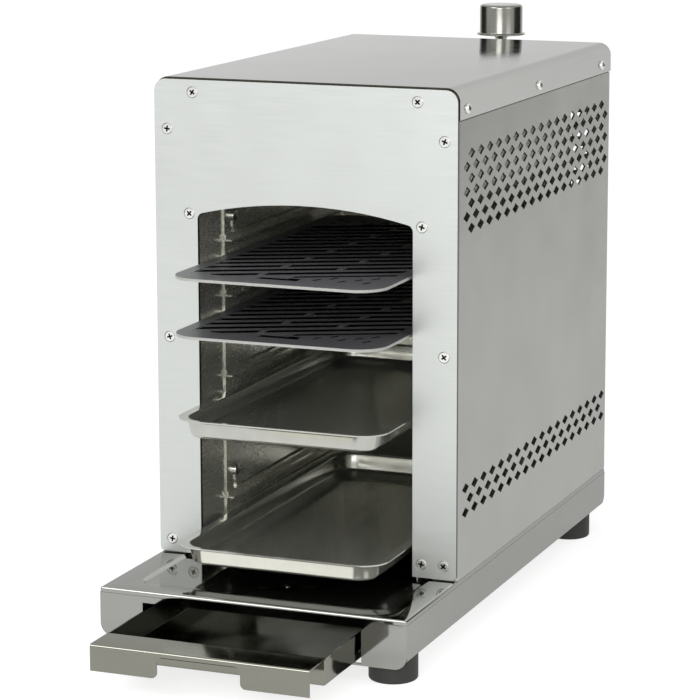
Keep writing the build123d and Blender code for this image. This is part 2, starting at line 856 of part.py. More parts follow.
def slot_face(row, x0, x1):
    """Slanted slot of one row between two places, its ends parallel to the sides."""
    half = slot_gap_w / 2 / math.cos(slot_rise)
    y0 = row * slot_pitch / math.cos(slot_rise) + x0 * math.tan(slot_rise)
    y1 = y0 + (x1 - x0) * math.tan(slot_rise)
    return make_face(Polyline((x0, y0 - half), (x1, y1 - half), (x1, y1 + half), (x0, y0 + half), close=True))


def grate_slots():
    """Slanted slots about the plate's centre, each row broken by one tie, the rows in turn left and right."""
    half_x = half_insert - field_side
    half_y = insert_len / 2 - field_end
    step = slot_pitch / math.cos(slot_rise)
    lean = math.tan(math.radians(tie_lean))
    faces = []
    for row in range(-slot_rows, slot_rows + 1):
        start = max(-half_x, (-half_y - row * step) / math.tan(slot_rise))
        end = min(half_x, (half_y - row * step) / math.tan(slot_rise))
        tie = tie_x[row % 2] + row * step * lean
        faces.append(slot_face(row, start, tie - tie_w / 2))
        faces.append(slot_face(row, tie + tie_w / 2, end))
    last = slot_rows + 1
    faces.append(slot_face(-last, last_slot_start, half_x))
    faces.append(slot_face(last, -half_x, -last_slot_start))
    border = Rectangle(border_slot_len, border_slot_w)
    faces.append(Pos(-border_slot_x, -half_y) * border)
    faces.append(Pos(border_slot_x, half_y) * border)
    return faces


def grate_dashes():
    """Short drain slots in two corners of the plate, in rows that get shorter inwards."""
    faces = []
    for row in range(dash_rows):
        for k in range(dash_rows - row):
            x = half_insert - dash_side - k * dash_pitch - (row % 2) * dash_pitch / 2
            y = -insert_len / 2 + dash_end + row * dash_row_gap
            dash = Rot(0, 0, dash_angle) * Rectangle(dash_len, dash_w)
            faces.append(Pos(x, y) * dash)
            faces.append(Pos(-x, -y) * dash)
    return faces


def make_grate(top_z):
    """Flat plate with slanted slots between leaning ties."""
    sheet = RectangleRounded(insert_w, insert_len, grate_corner_r)
    plate = extrude(sheet, grate_t)
    cuts = [extrude(face, grate_t) for face in grate_slots() + grate_dashes()]
    plate -= cuts
    return Pos(0, grate_front_y + insert_len / 2, top_z - grate_t) * plate


# Burner

def make_burner_housing():
    """Drawn gas box over the tiles, with a wide rim that rests on the liners."""
    half = burner_w / 2
    centre_y = burner_front_y + burner_len / 2
    rim_x = chamber_half + liner_t + liner_flange
    rim = block(-rim_x, rim_x, rim_front_y, rim_back_y, burner_z, burner_z + liner_t)
    outer = RectangleRounded(burner_w, burner_len, burner_corner_r)
    box = Pos(0, centre_y, burner_z) * extrude(outer, burner_h)
    inner = RectangleRounded(burner_w - 2 * liner_t, burner_len - 2 * liner_t, burner_corner_r - liner_t)
    core = Pos(0, centre_y, burner_z) * extrude(inner, burner_h - liner_t)
    shape = rim + box - core
    shape -= rod_y(0, mixer_axis_z, mixer_r + screw_fit, burner_back_y - 2 * liner_t, burner_back_y + liner_t)
    for x, y in burner_screw_places():
        shape -= stud_z(x, y, screw_r + screw_fit, burner_z, burner_z + liner_t)
    return shape


def burner_screw_places():
    """Centres of the six screws that hold the burner to the liners."""
    return [(side * burner_screw_x, y) for y in burner_screw_y for side in (-1, 1)]


def make_burner_screws():
    """Six screws down through the burner's rim."""
    screw = round_screw(round_head_h)
    return Compound([Pos(x, y, burner_z + liner_t) * screw for x, y in burner_screw_places()])


def make_burner_tiles():
    """Ceramic infrared tiles side by side on the burner's frame."""
    wide = burner_w - 2 * liner_t - 2 * tile_gap
    run = burner_len - 2 * liner_t - 2 * tile_gap
    long = (run - (tile_count - 1) * tile_gap) / tile_count
    start = burner_front_y + liner_t + tile_gap
    parts = []
    for k in range(tile_count):
        y0 = start + k * (long + tile_gap)
        tile = block(-wide / 2, wide / 2, y0, y0 + long, burner_z, burner_z + tile_h)
        parts.append(chamfer(tile.faces().sort_by(Axis.Z)[0].edges(), tile_edge))
    return Compound(parts)


def make_burner_frame():
    """Flat frame under the tiles, which holds them in the gas box."""
    half = chamber_half - frame_gap
    frame = block(-half, half, rim_front_y, chamber_back - frame_gap, burner_z - liner_t, burner_z)
    open_half = burner_w / 2 - liner_t - frame_lip
    frame -= block(-open_half, open_half, burner_front_y + liner_t + frame_lip,
                   burner_back_y - liner_t - frame_lip, burner_z - liner_t, burner_z)
    return frame


def make_mixer_tube():
    """Mixing tube from the gas box through the back to a flared mouth."""
    y0 = burner_back_y - liner_t
    y1 = rear_y + mixer_tail
    flare_y = y1 - mixer_mouth_len
    outer = [(0, y0), (mixer_r, y0), (mixer_r, flare_y), (mixer_mouth_r, y1), (0, y1)]
    inner_r = mixer_r - mixer_t
    inner = [(0, y0), (inner_r, y0), (inner_r, flare_y), (mixer_mouth_r - mixer_t, y1), (0, y1)]
    body = make_face(Polyline(*outer, close=True)) - make_face(Polyline(*inner, close=True))
    return Pos(0, 0, mixer_axis_z) * revolve(body, Axis.Y)


def make_burner_hood():
    """Folded shield over the burner, screwed to the front panel."""
    half = chamber_half + liner_flange
    top_z = cover_under - hood_top_gap
    y1 = chamber_back + liner_t
    low_z = burner_z + liner_t
    hood = block(-half, half, front_t, y1, top_z - liner_t, top_z)
    hood += block(-half, -half + liner_t, front_t + 2 * liner_t, y1, low_z, top_z)
    hood += block(half - liner_t, half, front_t + 2 * liner_t, y1, low_z, top_z)
    hood += block(-half, half, front_t, front_t + liner_t, low_z, cover_under - hood_side)
    hood += block(-half, half, y1 - liner_t, y1, low_z, top_z)
    hood -= rod_y(0, mixer_axis_z, mixer_r + screw_fit, y1 - liner_t, y1)
    for side in (-1, 1):
        hood -= stud_y(side * hood_screw_x, panel_z + hood_screw_z, screw_r + screw_fit, front_t, front_t + liner_t)
    return hood


# Gas valve

def bracket_screw_places():
    """Centres (x, z) of the two screws of the valve bracket."""
    x = bracket_w / 2 + bracket_ear / 2
    return [(-x, mixer_axis_z), (x, mixer_axis_z)]


def make_valve_bracket():
    """Bent strap on the back of the case that carries the injector and the valve."""
    half = bracket_w / 2
    low_z = mixer_axis_z - bracket_h / 2
    top_z = mixer_axis_z + bracket_h / 2
    strap = block(-half, half, rear_y, bracket_end_y, low_z, top_z)
    strap -= block(-half + bracket_t, half - bracket_t, rear_y, bracket_end_y - bracket_t, low_z, top_z)
    for side in (-1, 1):
        x0 = side * half
        x1 = side * (half + bracket_ear)
        strap += block(min(x0, x1), max(x0, x1), rear_y, rear_y + bracket_t, low_z, top_z)
    strap = fillet(edges_at(strap, 1, Axis.Z, bracket_end_y), bracket_t)
    strap -= rod_y(0, mixer_axis_z, injector_shank_r + screw_fit, bracket_end_y - bracket_t, bracket_end_y)
    for x, z in bracket_screw_places():
        strap -= stud_y(x, z, screw_r + screw_fit, rear_y, rear_y + bracket_t)
    return strap


def make_bracket_screws():
    """Two screws that hold the valve bracket to the rear panel."""
    screw = round_screw(round_head_h)
    parts = [Pos(x, rear_y + bracket_t, z) * Rot(-90, 0, 0) * screw for x, z in bracket_screw_places()]
    return Compound(parts)


def make_injector():
    """Brass jet: hex nut in front of the bracket, spigot behind, drilled through."""
    face_y = bracket_end_y - bracket_t
    hexagon = RegularPolygon(injector_hex / 2, 6, major_radius=False)
    nut = plate_xz(Pos(0, mixer_axis_z) * hexagon, face_y - injector_nut_h, injector_nut_h)
    jet = nut + rod_y(0, mixer_axis_z, injector_shank_r, face_y, valve_front_y)
    tip = Plane.XZ.offset(-(face_y - injector_nut_h - injector_tip / 2)) * Pos(0, mixer_axis_z)
    jet += tip * Cone(injector_r, injector_r / 2, injector_tip)
    jet -= rod_y(0, mixer_axis_z, injector_bore_r, face_y - injector_nut_h - injector_tip, valve_front_y)
    return jet


def make_valve_body():
    """Brass tap body with a collar round the plug and a boss for the inlet."""
    half = valve_w / 2
    body = block(-half, half, valve_front_y, valve_y + valve_len / 2, valve_low_z, valve_top_z)
    body = fillet(body.edges().filter_by(Axis.Z), valve_edge_r)
    body += rod_z(0, valve_y, valve_collar_r, valve_top_z, collar_z)
    body -= rod_z(0, valve_y, plug_r + spindle_fit, collar_z - plug_h - seat_gap, collar_z)
    return body


def make_valve_plug():
    """Turning plug of the tap, with a D-shaped socket for the spindle."""
    plug = rod_z(0, valve_y, plug_r, collar_z - plug_h, collar_z)
    plug -= extrude(Pos(0, valve_y, spindle_low_z) * d_outline(spindle_r + spindle_fit), spindle_in)
    plug -= rod_z(0, valve_y, spindle_r + spindle_fit, spindle_low_z - spring_h, spindle_low_z)
    return plug


def d_outline(radius):
    """Round outline with one flat on the back."""
    cut = Pos(0, 2 * radius - spindle_flat) * Rectangle(2 * radius, 2 * radius)
    return Circle(radius) - cut


def make_valve_spindle():
    """D-shaped spindle that turns the plug and is pushed into it."""
    return extrude(Pos(0, valve_y, spindle_low_z) * d_outline(spindle_r), brim_z + knob_bore_h - spindle_low_z)


def make_return_spring():
    """Coil spring in the plug, which pushes the spindle and the knob back up."""
    run = spring_h - 2 * spring_wire_r
    low_z = spindle_low_z - spring_h + spring_wire_r
    count = spring_turns * spring_sides
    points = []
    for k in range(count + 1):
        turn = 2 * math.pi * k / spring_sides
        points.append((spring_r * math.cos(turn), spring_r * math.sin(turn), run * k / count))
    coil = Polyline(*points)
    section = Plane(origin=coil @ 0, z_dir=coil % 0) * RegularPolygon(spring_wire_r, 6)
    return Pos(0, valve_y, low_z) * sweep(section, coil, transition=Transition.RIGHT)


def make_knob():
    """Turned knob with a brim, a softened top edge and a hub under it."""
    top_z = knob_h
    half_edge = knob_edge_r * math.sin(math.pi / 4)
    outline = [(0, knob_bore_h), (spindle_r + spindle_fit, knob_bore_h), (spindle_r + spindle_fit, -hub_h),
               (hub_low_r, -hub_h), (hub_top_r, 0), (brim_r, 0), (brim_r, brim_h), (knob_r, brim_h),
               (knob_r, top_z - knob_edge_r), (knob_r - knob_edge_r + half_edge, top_z - knob_edge_r + half_edge),
               (knob_r - knob_edge_r, top_z), (0, top_z)]
    body = revolve(make_face(Plane.XZ * Polyline(*outline, close=True)), Axis.Z)
    return Pos(0, valve_y, brim_z) * body


def make_gas_inlet():
    """Hose union under the tap: hex collar and a bored spigot."""
    top_z = valve_low_z
    hexagon = Pos(0, valve_y, top_z - inlet_hex_h) * RegularPolygon(inlet_hex / 2, 6, major_radius=False)
    union = extrude(hexagon, inlet_hex_h)
    union += rod_z(0, valve_y, inlet_r, top_z - inlet_hex_h - inlet_len, top_z - inlet_hex_h)
    union -= rod_z(0, valve_y, inlet_bore_r, top_z - inlet_hex_h - inlet_len, top_z)
    return union


def make_flame_probe():
    """Thermocouple: its lead from the tap, through the back, to the probe under the tiles."""
    x0 = valve_w / 2
    z0 = mixer_axis_z
    z1 = z0 - lead_drop
    turn_y = chamber_back + lead_gap_y
    start = (x0, valve_y, z0)
    bend = lead_bend
    points = [start, (lead_side - bend, valve_y, z0), (lead_side, valve_y - bend, z0), (lead_side, turn_y + bend, z0),
              (lead_side, turn_y, z0 - bend), (lead_side, turn_y, z1 + bend), (lead_side, turn_y - bend, z1),
              (lead_side, chamber_back - probe_len / 2, z1)]
    ring = Plane(origin=start, z_dir=(1, 0, 0)) * RegularPolygon(lead_r, 8)
    lead = sweep(ring, Polyline(*points), transition=Transition.RIGHT)
    probe = rod_y(lead_side, z1, probe_r, chamber_back - probe_len, chamber_back + liner_t * 2)
    nut = rod_x(valve_y, z0, lead_nut_r, x0, x0 + lead_nut_len)
    return lead + probe + nut


def all_parts():
    """Every sub-part by its node name, in the building frame."""
    parts = {}
    parts["base_chassis"] = make_base_chassis()
    rail = make_drawer_rail()
    parts["drawer_rail_right"] = rail
    parts["drawer_rail_left"] = to_left(rail)
    names = ("foot_front_left", "foot_front_right", "foot_rear_left", "foot_rear_right")
    for name, (x, y) in zip(names, foot_places()):
        parts[name] = make_foot(x, y)
    parts["foot_screws"] = make_foot_screws()
    parts["base_screws"] = make_base_screws()
    parts["drip_drawer"] = make_drip_drawer()
    parts["front_panel"] = make_front_panel()
    parts["front_panel_screws"] = make_front_panel_screws()
    side = make_side_panel()
    parts["side_panel_right"] = side
    parts["side_panel_left"] = to_left(side)
    parts["top_cover"] = make_top_cover()
    parts["cover_screws"] = make_cover_screws()
    parts["rear_panel"] = make_rear_panel()
    parts["rear_panel_screws"] = make_rear_screws()
    wall = make_inner_wall()
    parts["inner_wall_right"] = wall
    parts["inner_wall_left"] = to_left(wall)
    parts["inner_rear_wall"] = make_inner_rear_wall()
    posts = make_rack_posts()
    parts["rack_posts_right"] = posts
    parts["rack_posts_left"] = to_left(posts)
    parts["rack_bolts"] = make_rack_bolts()
    seats = {
        "lower_tray": panel_z + lower_tray_z - tray_t - seat_gap,
        "upper_tray": panel_z + upper_tray_z - tray_t - seat_gap,
        "lower_grate": panel_z + lower_grate_z - grate_t - seat_gap,
        "upper_grate": panel_z + upper_grate_z - grate_t - seat_gap,
    }
    for name, seat_z in seats.items():
        ledge = make_rail(seat_z)
        parts["rail_" + name + "_right"] = ledge
        parts["rail_" + name + "_left"] = to_left(ledge)
    guides = make_guides(seats.values())
    parts["tip_guides_right"] = guides
    parts["tip_guides_left"] = to_left(guides)
    parts["lower_tray"] = make_tray(panel_z + lower_tray_z)
    parts["upper_tray"] = make_tray(panel_z + upper_tray_z)
    parts["lower_grate"] = make_grate(panel_z + lower_grate_z)
    parts["upper_grate"] = make_grate(panel_z + upper_grate_z)
    parts["burner_housing"] = make_burner_housing()
    parts["burner_tiles"] = make_burner_tiles()
    parts["burner_frame"] = make_burner_frame()
    parts["burner_screws"] = make_burner_screws()
    parts["burner_hood"] = make_burner_hood()
    parts["mixer_tube"] = make_mixer_tube()
    parts["valve_bracket"] = make_valve_bracket()
    parts["bracket_screws"] = make_bracket_screws()
    parts["injector"] = make_injector()
    parts["valve_body"] = make_valve_body()
    parts["valve_plug"] = make_valve_plug()
    parts["valve_spindle"] = make_valve_spindle()
    parts["return_spring"] = make_return_spring()
    parts["control_knob"] = make_knob()
    parts["gas_inlet"] = make_gas_inlet()
    parts["flame_probe"] = make_flame_probe()
    return parts


os.makedirs("parts", exist_ok=True)
model = all_parts()
boxes = [shape.bounding_box() for shape in model.values()]
shift = -(min(b.min.Y for b in boxes) + max(b.max.Y for b in boxes)) / 2
for name, shape in model.items():
    export_step(Pos(0, shift, 0) * shape, "parts/" + name + ".step")
print("parts", len(model), "shift along Y", round(shift, 3))
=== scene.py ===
"""Looks of the gas steak grill: sheet-steel case, chamber with grates and trays, base with
drip drawer, and the gas tap behind. Metres, +Z up, the open front faces -Y.
"""
import json
import math

import bmesh
import bpy
import numpy as np
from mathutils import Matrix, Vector
from mathutils.geometry import tessellate_polygon


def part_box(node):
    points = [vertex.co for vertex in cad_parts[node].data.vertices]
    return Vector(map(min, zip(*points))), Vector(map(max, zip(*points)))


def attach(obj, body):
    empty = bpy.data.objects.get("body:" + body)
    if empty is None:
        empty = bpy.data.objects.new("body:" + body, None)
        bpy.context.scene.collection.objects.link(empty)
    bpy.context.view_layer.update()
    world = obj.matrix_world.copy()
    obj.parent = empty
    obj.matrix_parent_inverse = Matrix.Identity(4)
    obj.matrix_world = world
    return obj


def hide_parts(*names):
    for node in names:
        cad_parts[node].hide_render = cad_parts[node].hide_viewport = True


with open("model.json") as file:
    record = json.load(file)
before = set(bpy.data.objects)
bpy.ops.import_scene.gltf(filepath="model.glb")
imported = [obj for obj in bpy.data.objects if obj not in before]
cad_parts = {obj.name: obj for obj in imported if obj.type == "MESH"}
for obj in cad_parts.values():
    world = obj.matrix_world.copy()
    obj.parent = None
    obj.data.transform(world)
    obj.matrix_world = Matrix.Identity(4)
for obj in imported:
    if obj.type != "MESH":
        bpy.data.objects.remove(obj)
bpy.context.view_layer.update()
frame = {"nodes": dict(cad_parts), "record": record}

bl_info = {
    "name": "Gas steak grill",
    "version": (1, 0, 0),
    "blender": (4, 5, 0),
    "location": "3D View > Sidebar > Grill",
    "description": "Builds the visible pieces, finishes and stage of a gas steak grill",
    "category": "Object",
}

MM = 0.001


def span(node):
    """Lowest and highest corner of a CAD node as two arrays, in metres."""
    low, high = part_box(node)
    return np.array(low), np.array(high)


BASE_LOW, BASE_HIGH = span("base_chassis")
DRAWER_LOW, DRAWER_HIGH = span("drip_drawer")
COVER_LOW, COVER_HIGH = span("top_cover")
KNOB_LOW, KNOB_HIGH = span("control_knob")


def length(name, description, default):
    """A size that a user may change."""
    return bpy.props.FloatProperty(name=name, description=description, default=default, min=0.0,
                                   subtype="DISTANCE", unit="LENGTH", precision=5)


def colour(name, description, default):
    """An sRGB colour as a hex word that a user may change."""
    return bpy.props.StringProperty(name=name, description=description, default=default)


class GrillSizes(bpy.types.PropertyGroup):
    """Sizes of the visible pieces that the frame doesn't give."""
    case_sheet: length("Case sheet", "Thickness of the case's sheets", 1.5 * MM)
    cover_bend: length("Cover bend", "Outer radius of the cover's long edges", 10 * MM)
    base_bend: length("Base bend", "Outer radius of the deck's edges", 2 * MM)
    pan_sheet: length("Pan sheet", "Thickness of the trays and the drawer", 1.0 * MM)
    tray_corner: length("Tray corner", "Outer corner radius of the trays", 20 * MM)
    grate_corner: length("Grate corner", "Outer corner radius of the grates", 22 * MM)
    bar_crown: length("Bar crown", "How far the grate bars stand up in their middle", 0.5 * MM)
    knob_edge: length("Knob edge", "Rounding of the knob's top edge", 2.6 * MM)
    screw_cross: length("Screw cross", "Length over the arms of the screws' cross recess", 4.6 * MM)


class GrillFinish(bpy.types.PropertyGroup):
    """Colours of the finishes, as sRGB hex."""
    front: colour("Front", "Brushed front panel", "#C3C6C3")
    side: colour("Side", "Satin side panels", "#A9AAA5")
    cover: colour("Cover", "Cover over the case", "#C4C5C1")
    deck: colour("Deck", "Polished base", "#979793")
    drawer: colour("Drawer", "Polished drip drawer", "#828279")
    tray: colour("Tray", "Drawn trays", "#B6B6B0")
    chamber: colour("Chamber", "Steel inside the chamber", "#D2D2C8")
    enamel: colour("Enamel", "Matt enamel of the grates", "#535356")
    rubber: colour("Rubber", "Rubber of the feet", "#2C2D2A")
    brass: colour("Brass", "Brass of the tap", "#B79A55")
    ceramic: colour("Ceramic", "Burner tiles", "#D8CBB4")


# Meshes

def joined(parts):
    """One mesh from several (points, faces): the face numbers move up by the points before them."""
    points, faces, offset = [], [], 0
    for vertices, polygons in parts:
        points.append(np.asarray(vertices, float))
        faces += [[int(i) + offset for i in polygon] for polygon in polygons]
        offset += len(vertices)
    return np.vstack(points), faces


def piece(name, parts, body, slot, replaced, sharp=35.0, marks=None):
    """Object from (points, faces) pairs, welded, with outward normals, smooth up to an angle and in the
    finish of its slot. marks gives each face a value that the finish reads as the attribute recess."""
    points, faces = joined(parts)
    mesh = bpy.data.meshes.new(name)
    mesh.from_pydata(points.tolist(), [], faces)
    if marks is not None:
        layer = mesh.attributes.new("recess", "FLOAT", "FACE")
        layer.data.foreach_set("value", np.asarray(marks, np.float32))
    solid = bmesh.new()
    solid.from_mesh(mesh)
    bmesh.ops.remove_doubles(solid, verts=solid.verts, dist=1e-6)
    bmesh.ops.dissolve_degenerate(solid, edges=solid.edges, dist=1e-7)
    bmesh.ops.recalc_face_normals(solid, faces=solid.faces)
    solid.to_mesh(mesh)
    solid.free()
    mesh.shade_smooth()
    mesh.set_sharp_from_angle(angle=math.radians(sharp))
    thing = bpy.data.objects.new(name, mesh)
    bpy.context.scene.collection.objects.link(thing)
    mesh.materials.append(FINISHES[slot])
    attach(thing, body)
    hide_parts(*replaced)


def grid(points, wrap=False):
    """Quads over a grid of points, joined round its second index where wrap is set."""
    rows, columns = points.shape[:2]
    index = np.arange(rows * columns).reshape(rows, columns)
    if wrap:
        index = np.hstack([index, index[:, :1]])
    quads = np.stack([index[:-1, :-1], index[1:, :-1], index[1:, 1:], index[:-1, 1:]], -1)
    return points.reshape(-1, 3), quads.reshape(-1, 4).tolist()


def shell(outside, inside, wrap=False):
    """Closed sheet between two equal grids: both faces, and strips along the open borders."""
    parts = [grid(outside, wrap), grid(inside[:, ::-1], wrap)]
    borders = [(outside[0], inside[0]), (outside[-1], inside[-1])]
    if not wrap:
        borders += [(outside[:, 0], inside[:, 0]), (outside[:, -1], inside[:, -1])]
    parts += [grid(np.stack([a, b]), wrap and k < 2) for k, (a, b) in enumerate(borders)]
    return parts


def arc(centre, radius, start, end, count):
    """Points on a circle about centre, from start to end in degrees."""
    turn = np.radians(np.linspace(start, end, count))
    return np.stack([centre[0] + radius * np.cos(turn), centre[1] + radius * np.sin(turn)], 1)


def corners(x0, x1, y0, y1):
    """Rectangle as four points."""
    return [(x0, y0), (x1, y0), (x1, y1), (x0, y1)]


def facing(axis, at, sign=1):
    """Places a flat outline square to an axis (0 X, 1 Y, 2 Z), its depth along the axis times sign."""
    return lambda flat, d: np.insert(flat, axis, at + sign * d, axis=1)


def slab(outline, depth, place):
    """Flat plate: a 2-D outline filled on two faces and closed round its edge.
    place(points, d) puts the flat outline into space at depth d."""
    outline = np.asarray(outline, float)
    near, far = place(outline, 0.0), place(outline, depth)
    n = len(outline)
    front = [list(t) for t in tessellate_polygon([[Vector((x, y, 0)) for x, y in outline]])]
    back = [[i + n for i in t] for t in front]
    edge = [[i, (i + 1) % n, n + (i + 1) % n, n + i] for i in range(n)]
    return np.vstack([near, far]), front + back + edge


def pierced(outer, holes, low, high):
    """Flat level plate with holes: both faces are filled round the holes, then every edge is closed."""
    loops = [np.asarray(loop, float) for loop in [outer] + holes]
    flat = np.vstack(loops)
    count = len(flat)
    filled = tessellate_polygon([[Vector((x, y, 0)) for x, y in loop] for loop in loops])
    top = [list(t) for t in filled]
    bottom = [[i + count for i in t] for t in top]
    walls, start = [], 0
    for loop in loops:
        n = len(loop)
        for i in range(n):
            a, b = start + i, start + (i + 1) % n
            walls.append([a, b, count + b, count + a])
        start += n
    return np.vstack([np.insert(flat, 2, z, axis=1) for z in (high, low)]), top + bottom + walls


def turned(profile, centre, axis="Z", count=64, sign=1):
    """Surface of revolution: each profile point's radius and height, turned about an axis through
    centre. sign -1 turns the heights round."""
    profile = np.asarray(profile, float)
    turn = np.linspace(0, 2 * math.pi, count, endpoint=False)
    across, along = np.cos(turn), np.sin(turn)
    r, h = profile[:, :1], profile[:, 1:] * np.ones((1, count)) * sign
    a, b = r * across, r * along
    order = {"Z": (a, b, h), "Y": (a, h, b), "X": (h, a, b)}[axis]
    return grid(np.stack(order, -1) + np.asarray(centre, float), wrap=True)


def frame_ring(half_x, half_y, radius, centre, z, corner=10):
    """Rounded rectangle as a closed row of points: four arcs joined by straight runs of six points."""
    radius = max(radius, 0.01 * MM)
    loops = []
    for k, (sx, sy) in enumerate(((1, 1), (-1, 1), (-1, -1), (1, -1))):
        middle = (centre[0] + sx * (half_x - radius), centre[1] + sy * (half_y - radius))
        loops.append(arc(middle, radius, 90 * k, 90 * k + 90, corner))
    inner = np.linspace(0, 1, 8)[1:-1, None]
    points = []
    for loop, after in zip(loops, loops[1:] + loops[:1]):
        points += [loop, loop[-1] + (after[0] - loop[-1]) * inner]
    return np.insert(np.vstack(points), 2, z, axis=1)


def pan(rings):
    """Sheet pan through closed rings from one middle to the other: grid, and both middles filled."""
    points, quads = grid(np.stack(rings), wrap=True)
    n, last = len(rings[0]), (len(rings) - 1) * len(rings[0])
    return points, quads + [list(range(n)), list(range(last, last + n))]


# Finishes

FINISHES = {}
# Values of the attribute recess: the painted highlight on a grate's outer edge, and the painted shade on
# its slots' walls
EDGE_HIGHLIGHT_MARK, SLOT_SHADE_MARK = 0.5, 1.0


def linear(word):
    """sRGB hex word as linear light, with full alpha."""
    channels = [int(word[i:i + 2], 16) / 255 for i in (1, 3, 5)]
    return tuple(c / 12.92 if c <= 0.04045 else ((c + 0.055) / 1.055) ** 2.4 for c in channels) + (1.0,)


def add(tree, kind, settings=None, links=None):
    """Adds a node: settings are attributes or input values, links name what feeds an input."""
    new = tree.nodes.new(kind)
    for key, value in (settings or {}).items():
        if isinstance(key, str) and hasattr(new, key):
            setattr(new, key, value)
        else:
            new.inputs[key].default_value = value
    for key, socket in (links or {}).items():
        tree.links.new(socket, new.inputs[key])
    return new


def blank(name):
    """Material without nodes, and its tree."""
    material = bpy.data.materials.new(name)
    material.use_nodes = True
    material.node_tree.nodes.clear()
    return material, material.node_tree


def finish(name, constants):
    """Material with a principled shader whose own sockets hold the constant values."""
    material, tree = blank(name)
    shader = add(tree, "ShaderNodeBsdfPrincipled", constants)
    add(tree, "ShaderNodeOutputMaterial", None, {"Surface": shader.outputs[0]})
    return material, tree, shader


def coat(tree, shader, paint, gloss, height=None, strength=0.0, depth=0.0):
    """Links a finish's colour and roughness, and a bump from a height, its depth in millimetres."""
    tree.links.new(paint, shader.inputs["Base Color"])
    tree.links.new(gloss, shader.inputs["Roughness"])
    if height is not None:
        relief = add(tree, "ShaderNodeBump", {"Strength": strength, "Distance": depth * MM},
                     {"Height": height})
        tree.links.new(relief.outputs[0], shader.inputs["Normal"])


def streaks(tree, scale, detail=3.0, rough=0.6):
    """Noise on the object's own coordinates, stretched by a scale per axis."""
    place = add(tree, "ShaderNodeTexCoord")
    stretch = add(tree, "ShaderNodeMapping", {"Scale": scale}, {"Vector": place.outputs["Object"]})
    return add(tree, "ShaderNodeTexNoise", {"Scale": 1.0, "Detail": detail, "Roughness": rough},
               {"Vector": stretch.outputs[0]}).outputs["Fac"]


def ranged(tree, socket, low, high, start=0.3, end=0.7):
    """Maps a value between start and end to the range from low to high."""
    limits = {"From Min": start, "From Max": end, "To Min": low, "To Max": high}
    return add(tree, "ShaderNodeMapRange", limits, {"Value": socket}).outputs[0]


def tinted(tree, word, socket, amount):
    """Colour made darker or lighter around a hex colour by a noise value."""
    blend = add(tree, "ShaderNodeValToRGB", None, {"Fac": socket})
    for stop, place, share in zip(blend.color_ramp.elements, (0.3, 0.7), (1 - amount, 1 + amount)):
        stop.position = place
        stop.color = tuple(min(1.0, c * share) for c in linear(word)[:3]) + (1.0,)
    return blend.outputs[0]


def cut_and_shaded_edges(tree, paint, way, word="#4A4A42"):
    """Darkens a sheet's sheared edge, partly for its duller face and partly as painted shade: what faces
    along (way 1) or across (way 0) the object's Y axis.
    """
    place = add(tree, "ShaderNodeTexCoord")
    split = add(tree, "ShaderNodeSeparateXYZ", None, {0: place.outputs["Normal"]})
    size = add(tree, "ShaderNodeMath", {"operation": "ABSOLUTE"}, {0: split.outputs["Y"]})
    limits = {"From Min": 0.6, "From Max": 0.8, "To Min": 1.0 - way, "To Max": float(way)}
    mask = add(tree, "ShaderNodeMapRange", limits, {"Value": size.outputs[0]})
    blend = add(tree, "ShaderNodeMix", {"data_type": "RGBA", 7: linear(word)},
                {0: mask.outputs[0], 6: paint})
    return blend.outputs[2]


def steel(name, word, roughness, spread, scale, tint=0.03, bump=0.05, bump_mm=0.02, metal=1.0,
          graze=1.0, cut_and_shade=None):
    """Stainless steel sheet: metal whose grain, as streaks of a given scale, changes its gloss a little.
    metal below 1 lets the scratched surface scatter light, graze dims what it mirrors at a flat angle,
    and the last argument is the way of the darkened sheared edges, which are partly painted shade."""
    material, tree, shader = finish(name, {"Metallic": metal, "Specular Tint": (graze,) * 3 + (1.0,)})
    grain = streaks(tree, scale)
    cloud = streaks(tree, (14.0, 14.0, 14.0), 2.0)
    paint = tinted(tree, word, grain, tint)
    # Sheared edges darkened, partly as painted shade
    if cut_and_shade is not None:
        paint = cut_and_shaded_edges(tree, paint, cut_and_shade)
    mixed = add(tree, "ShaderNodeMath", {"operation": "ADD"}, {0: grain, 1: cloud}).outputs[0]
    gloss = ranged(tree, mixed, roughness - spread, roughness + spread, 0.7, 1.3)
    coat(tree, shader, paint, gloss, grain, bump, bump_mm)
    return material


def front_steel(word):
    """Stainless sheet brushed sideways with a coarse belt: pale, with fine level streaks."""
    return steel("brushed front steel", word, 0.38, 0.06, (22.0, 400.0, 1500.0), 0.035, 0.12, cut_and_shade=0)


def satin_steel(name, word):
    """Stainless sheet ground with a fine belt along the case: greyer, streaks run front to back."""
    return steel(name, word, 0.33, 0.05, (700.0, 16.0, 1200.0), 0.03, 0.12, graze=0.8)


def mirror_steel(name, word, roughness=0.07):
    """Stainless sheet polished to a mirror: a trace of buffing lines and clouds in the gloss."""
    return steel(name, word, roughness, roughness * 0.5, (60.0, 25.0, 60.0), 0.02, 0.03, graze=0.7)


def baked_steel(name, word):
    """Mill-finish stainless that has been hot: dull, patchy and slightly straw coloured."""
    material, tree, shader = finish(name, {"Metallic": 0.75})
    patch = streaks(tree, (20.0, 8.0, 9.0), 3.0, 0.6)
    speck = streaks(tree, (900.0, 300.0, 900.0), 2.0)
    paint = tinted(tree, word, patch, 0.12)
    both = add(tree, "ShaderNodeMath", {"operation": "ADD"}, {0: patch, 1: speck}).outputs[0]
    coat(tree, shader, paint, ranged(tree, both, 0.16, 0.3, 0.7, 1.3), speck, 0.08, 0.02)
    return material


def tray_steel(word):
    """Drawn and polished stainless: long soft draw lines across the pan, between mirror and satin."""
    return steel("drawn tray steel", word, 0.15, 0.06, (70.0, 5.0, 70.0), 0.06, 0.03, 0.02, 0.85, 0.85)


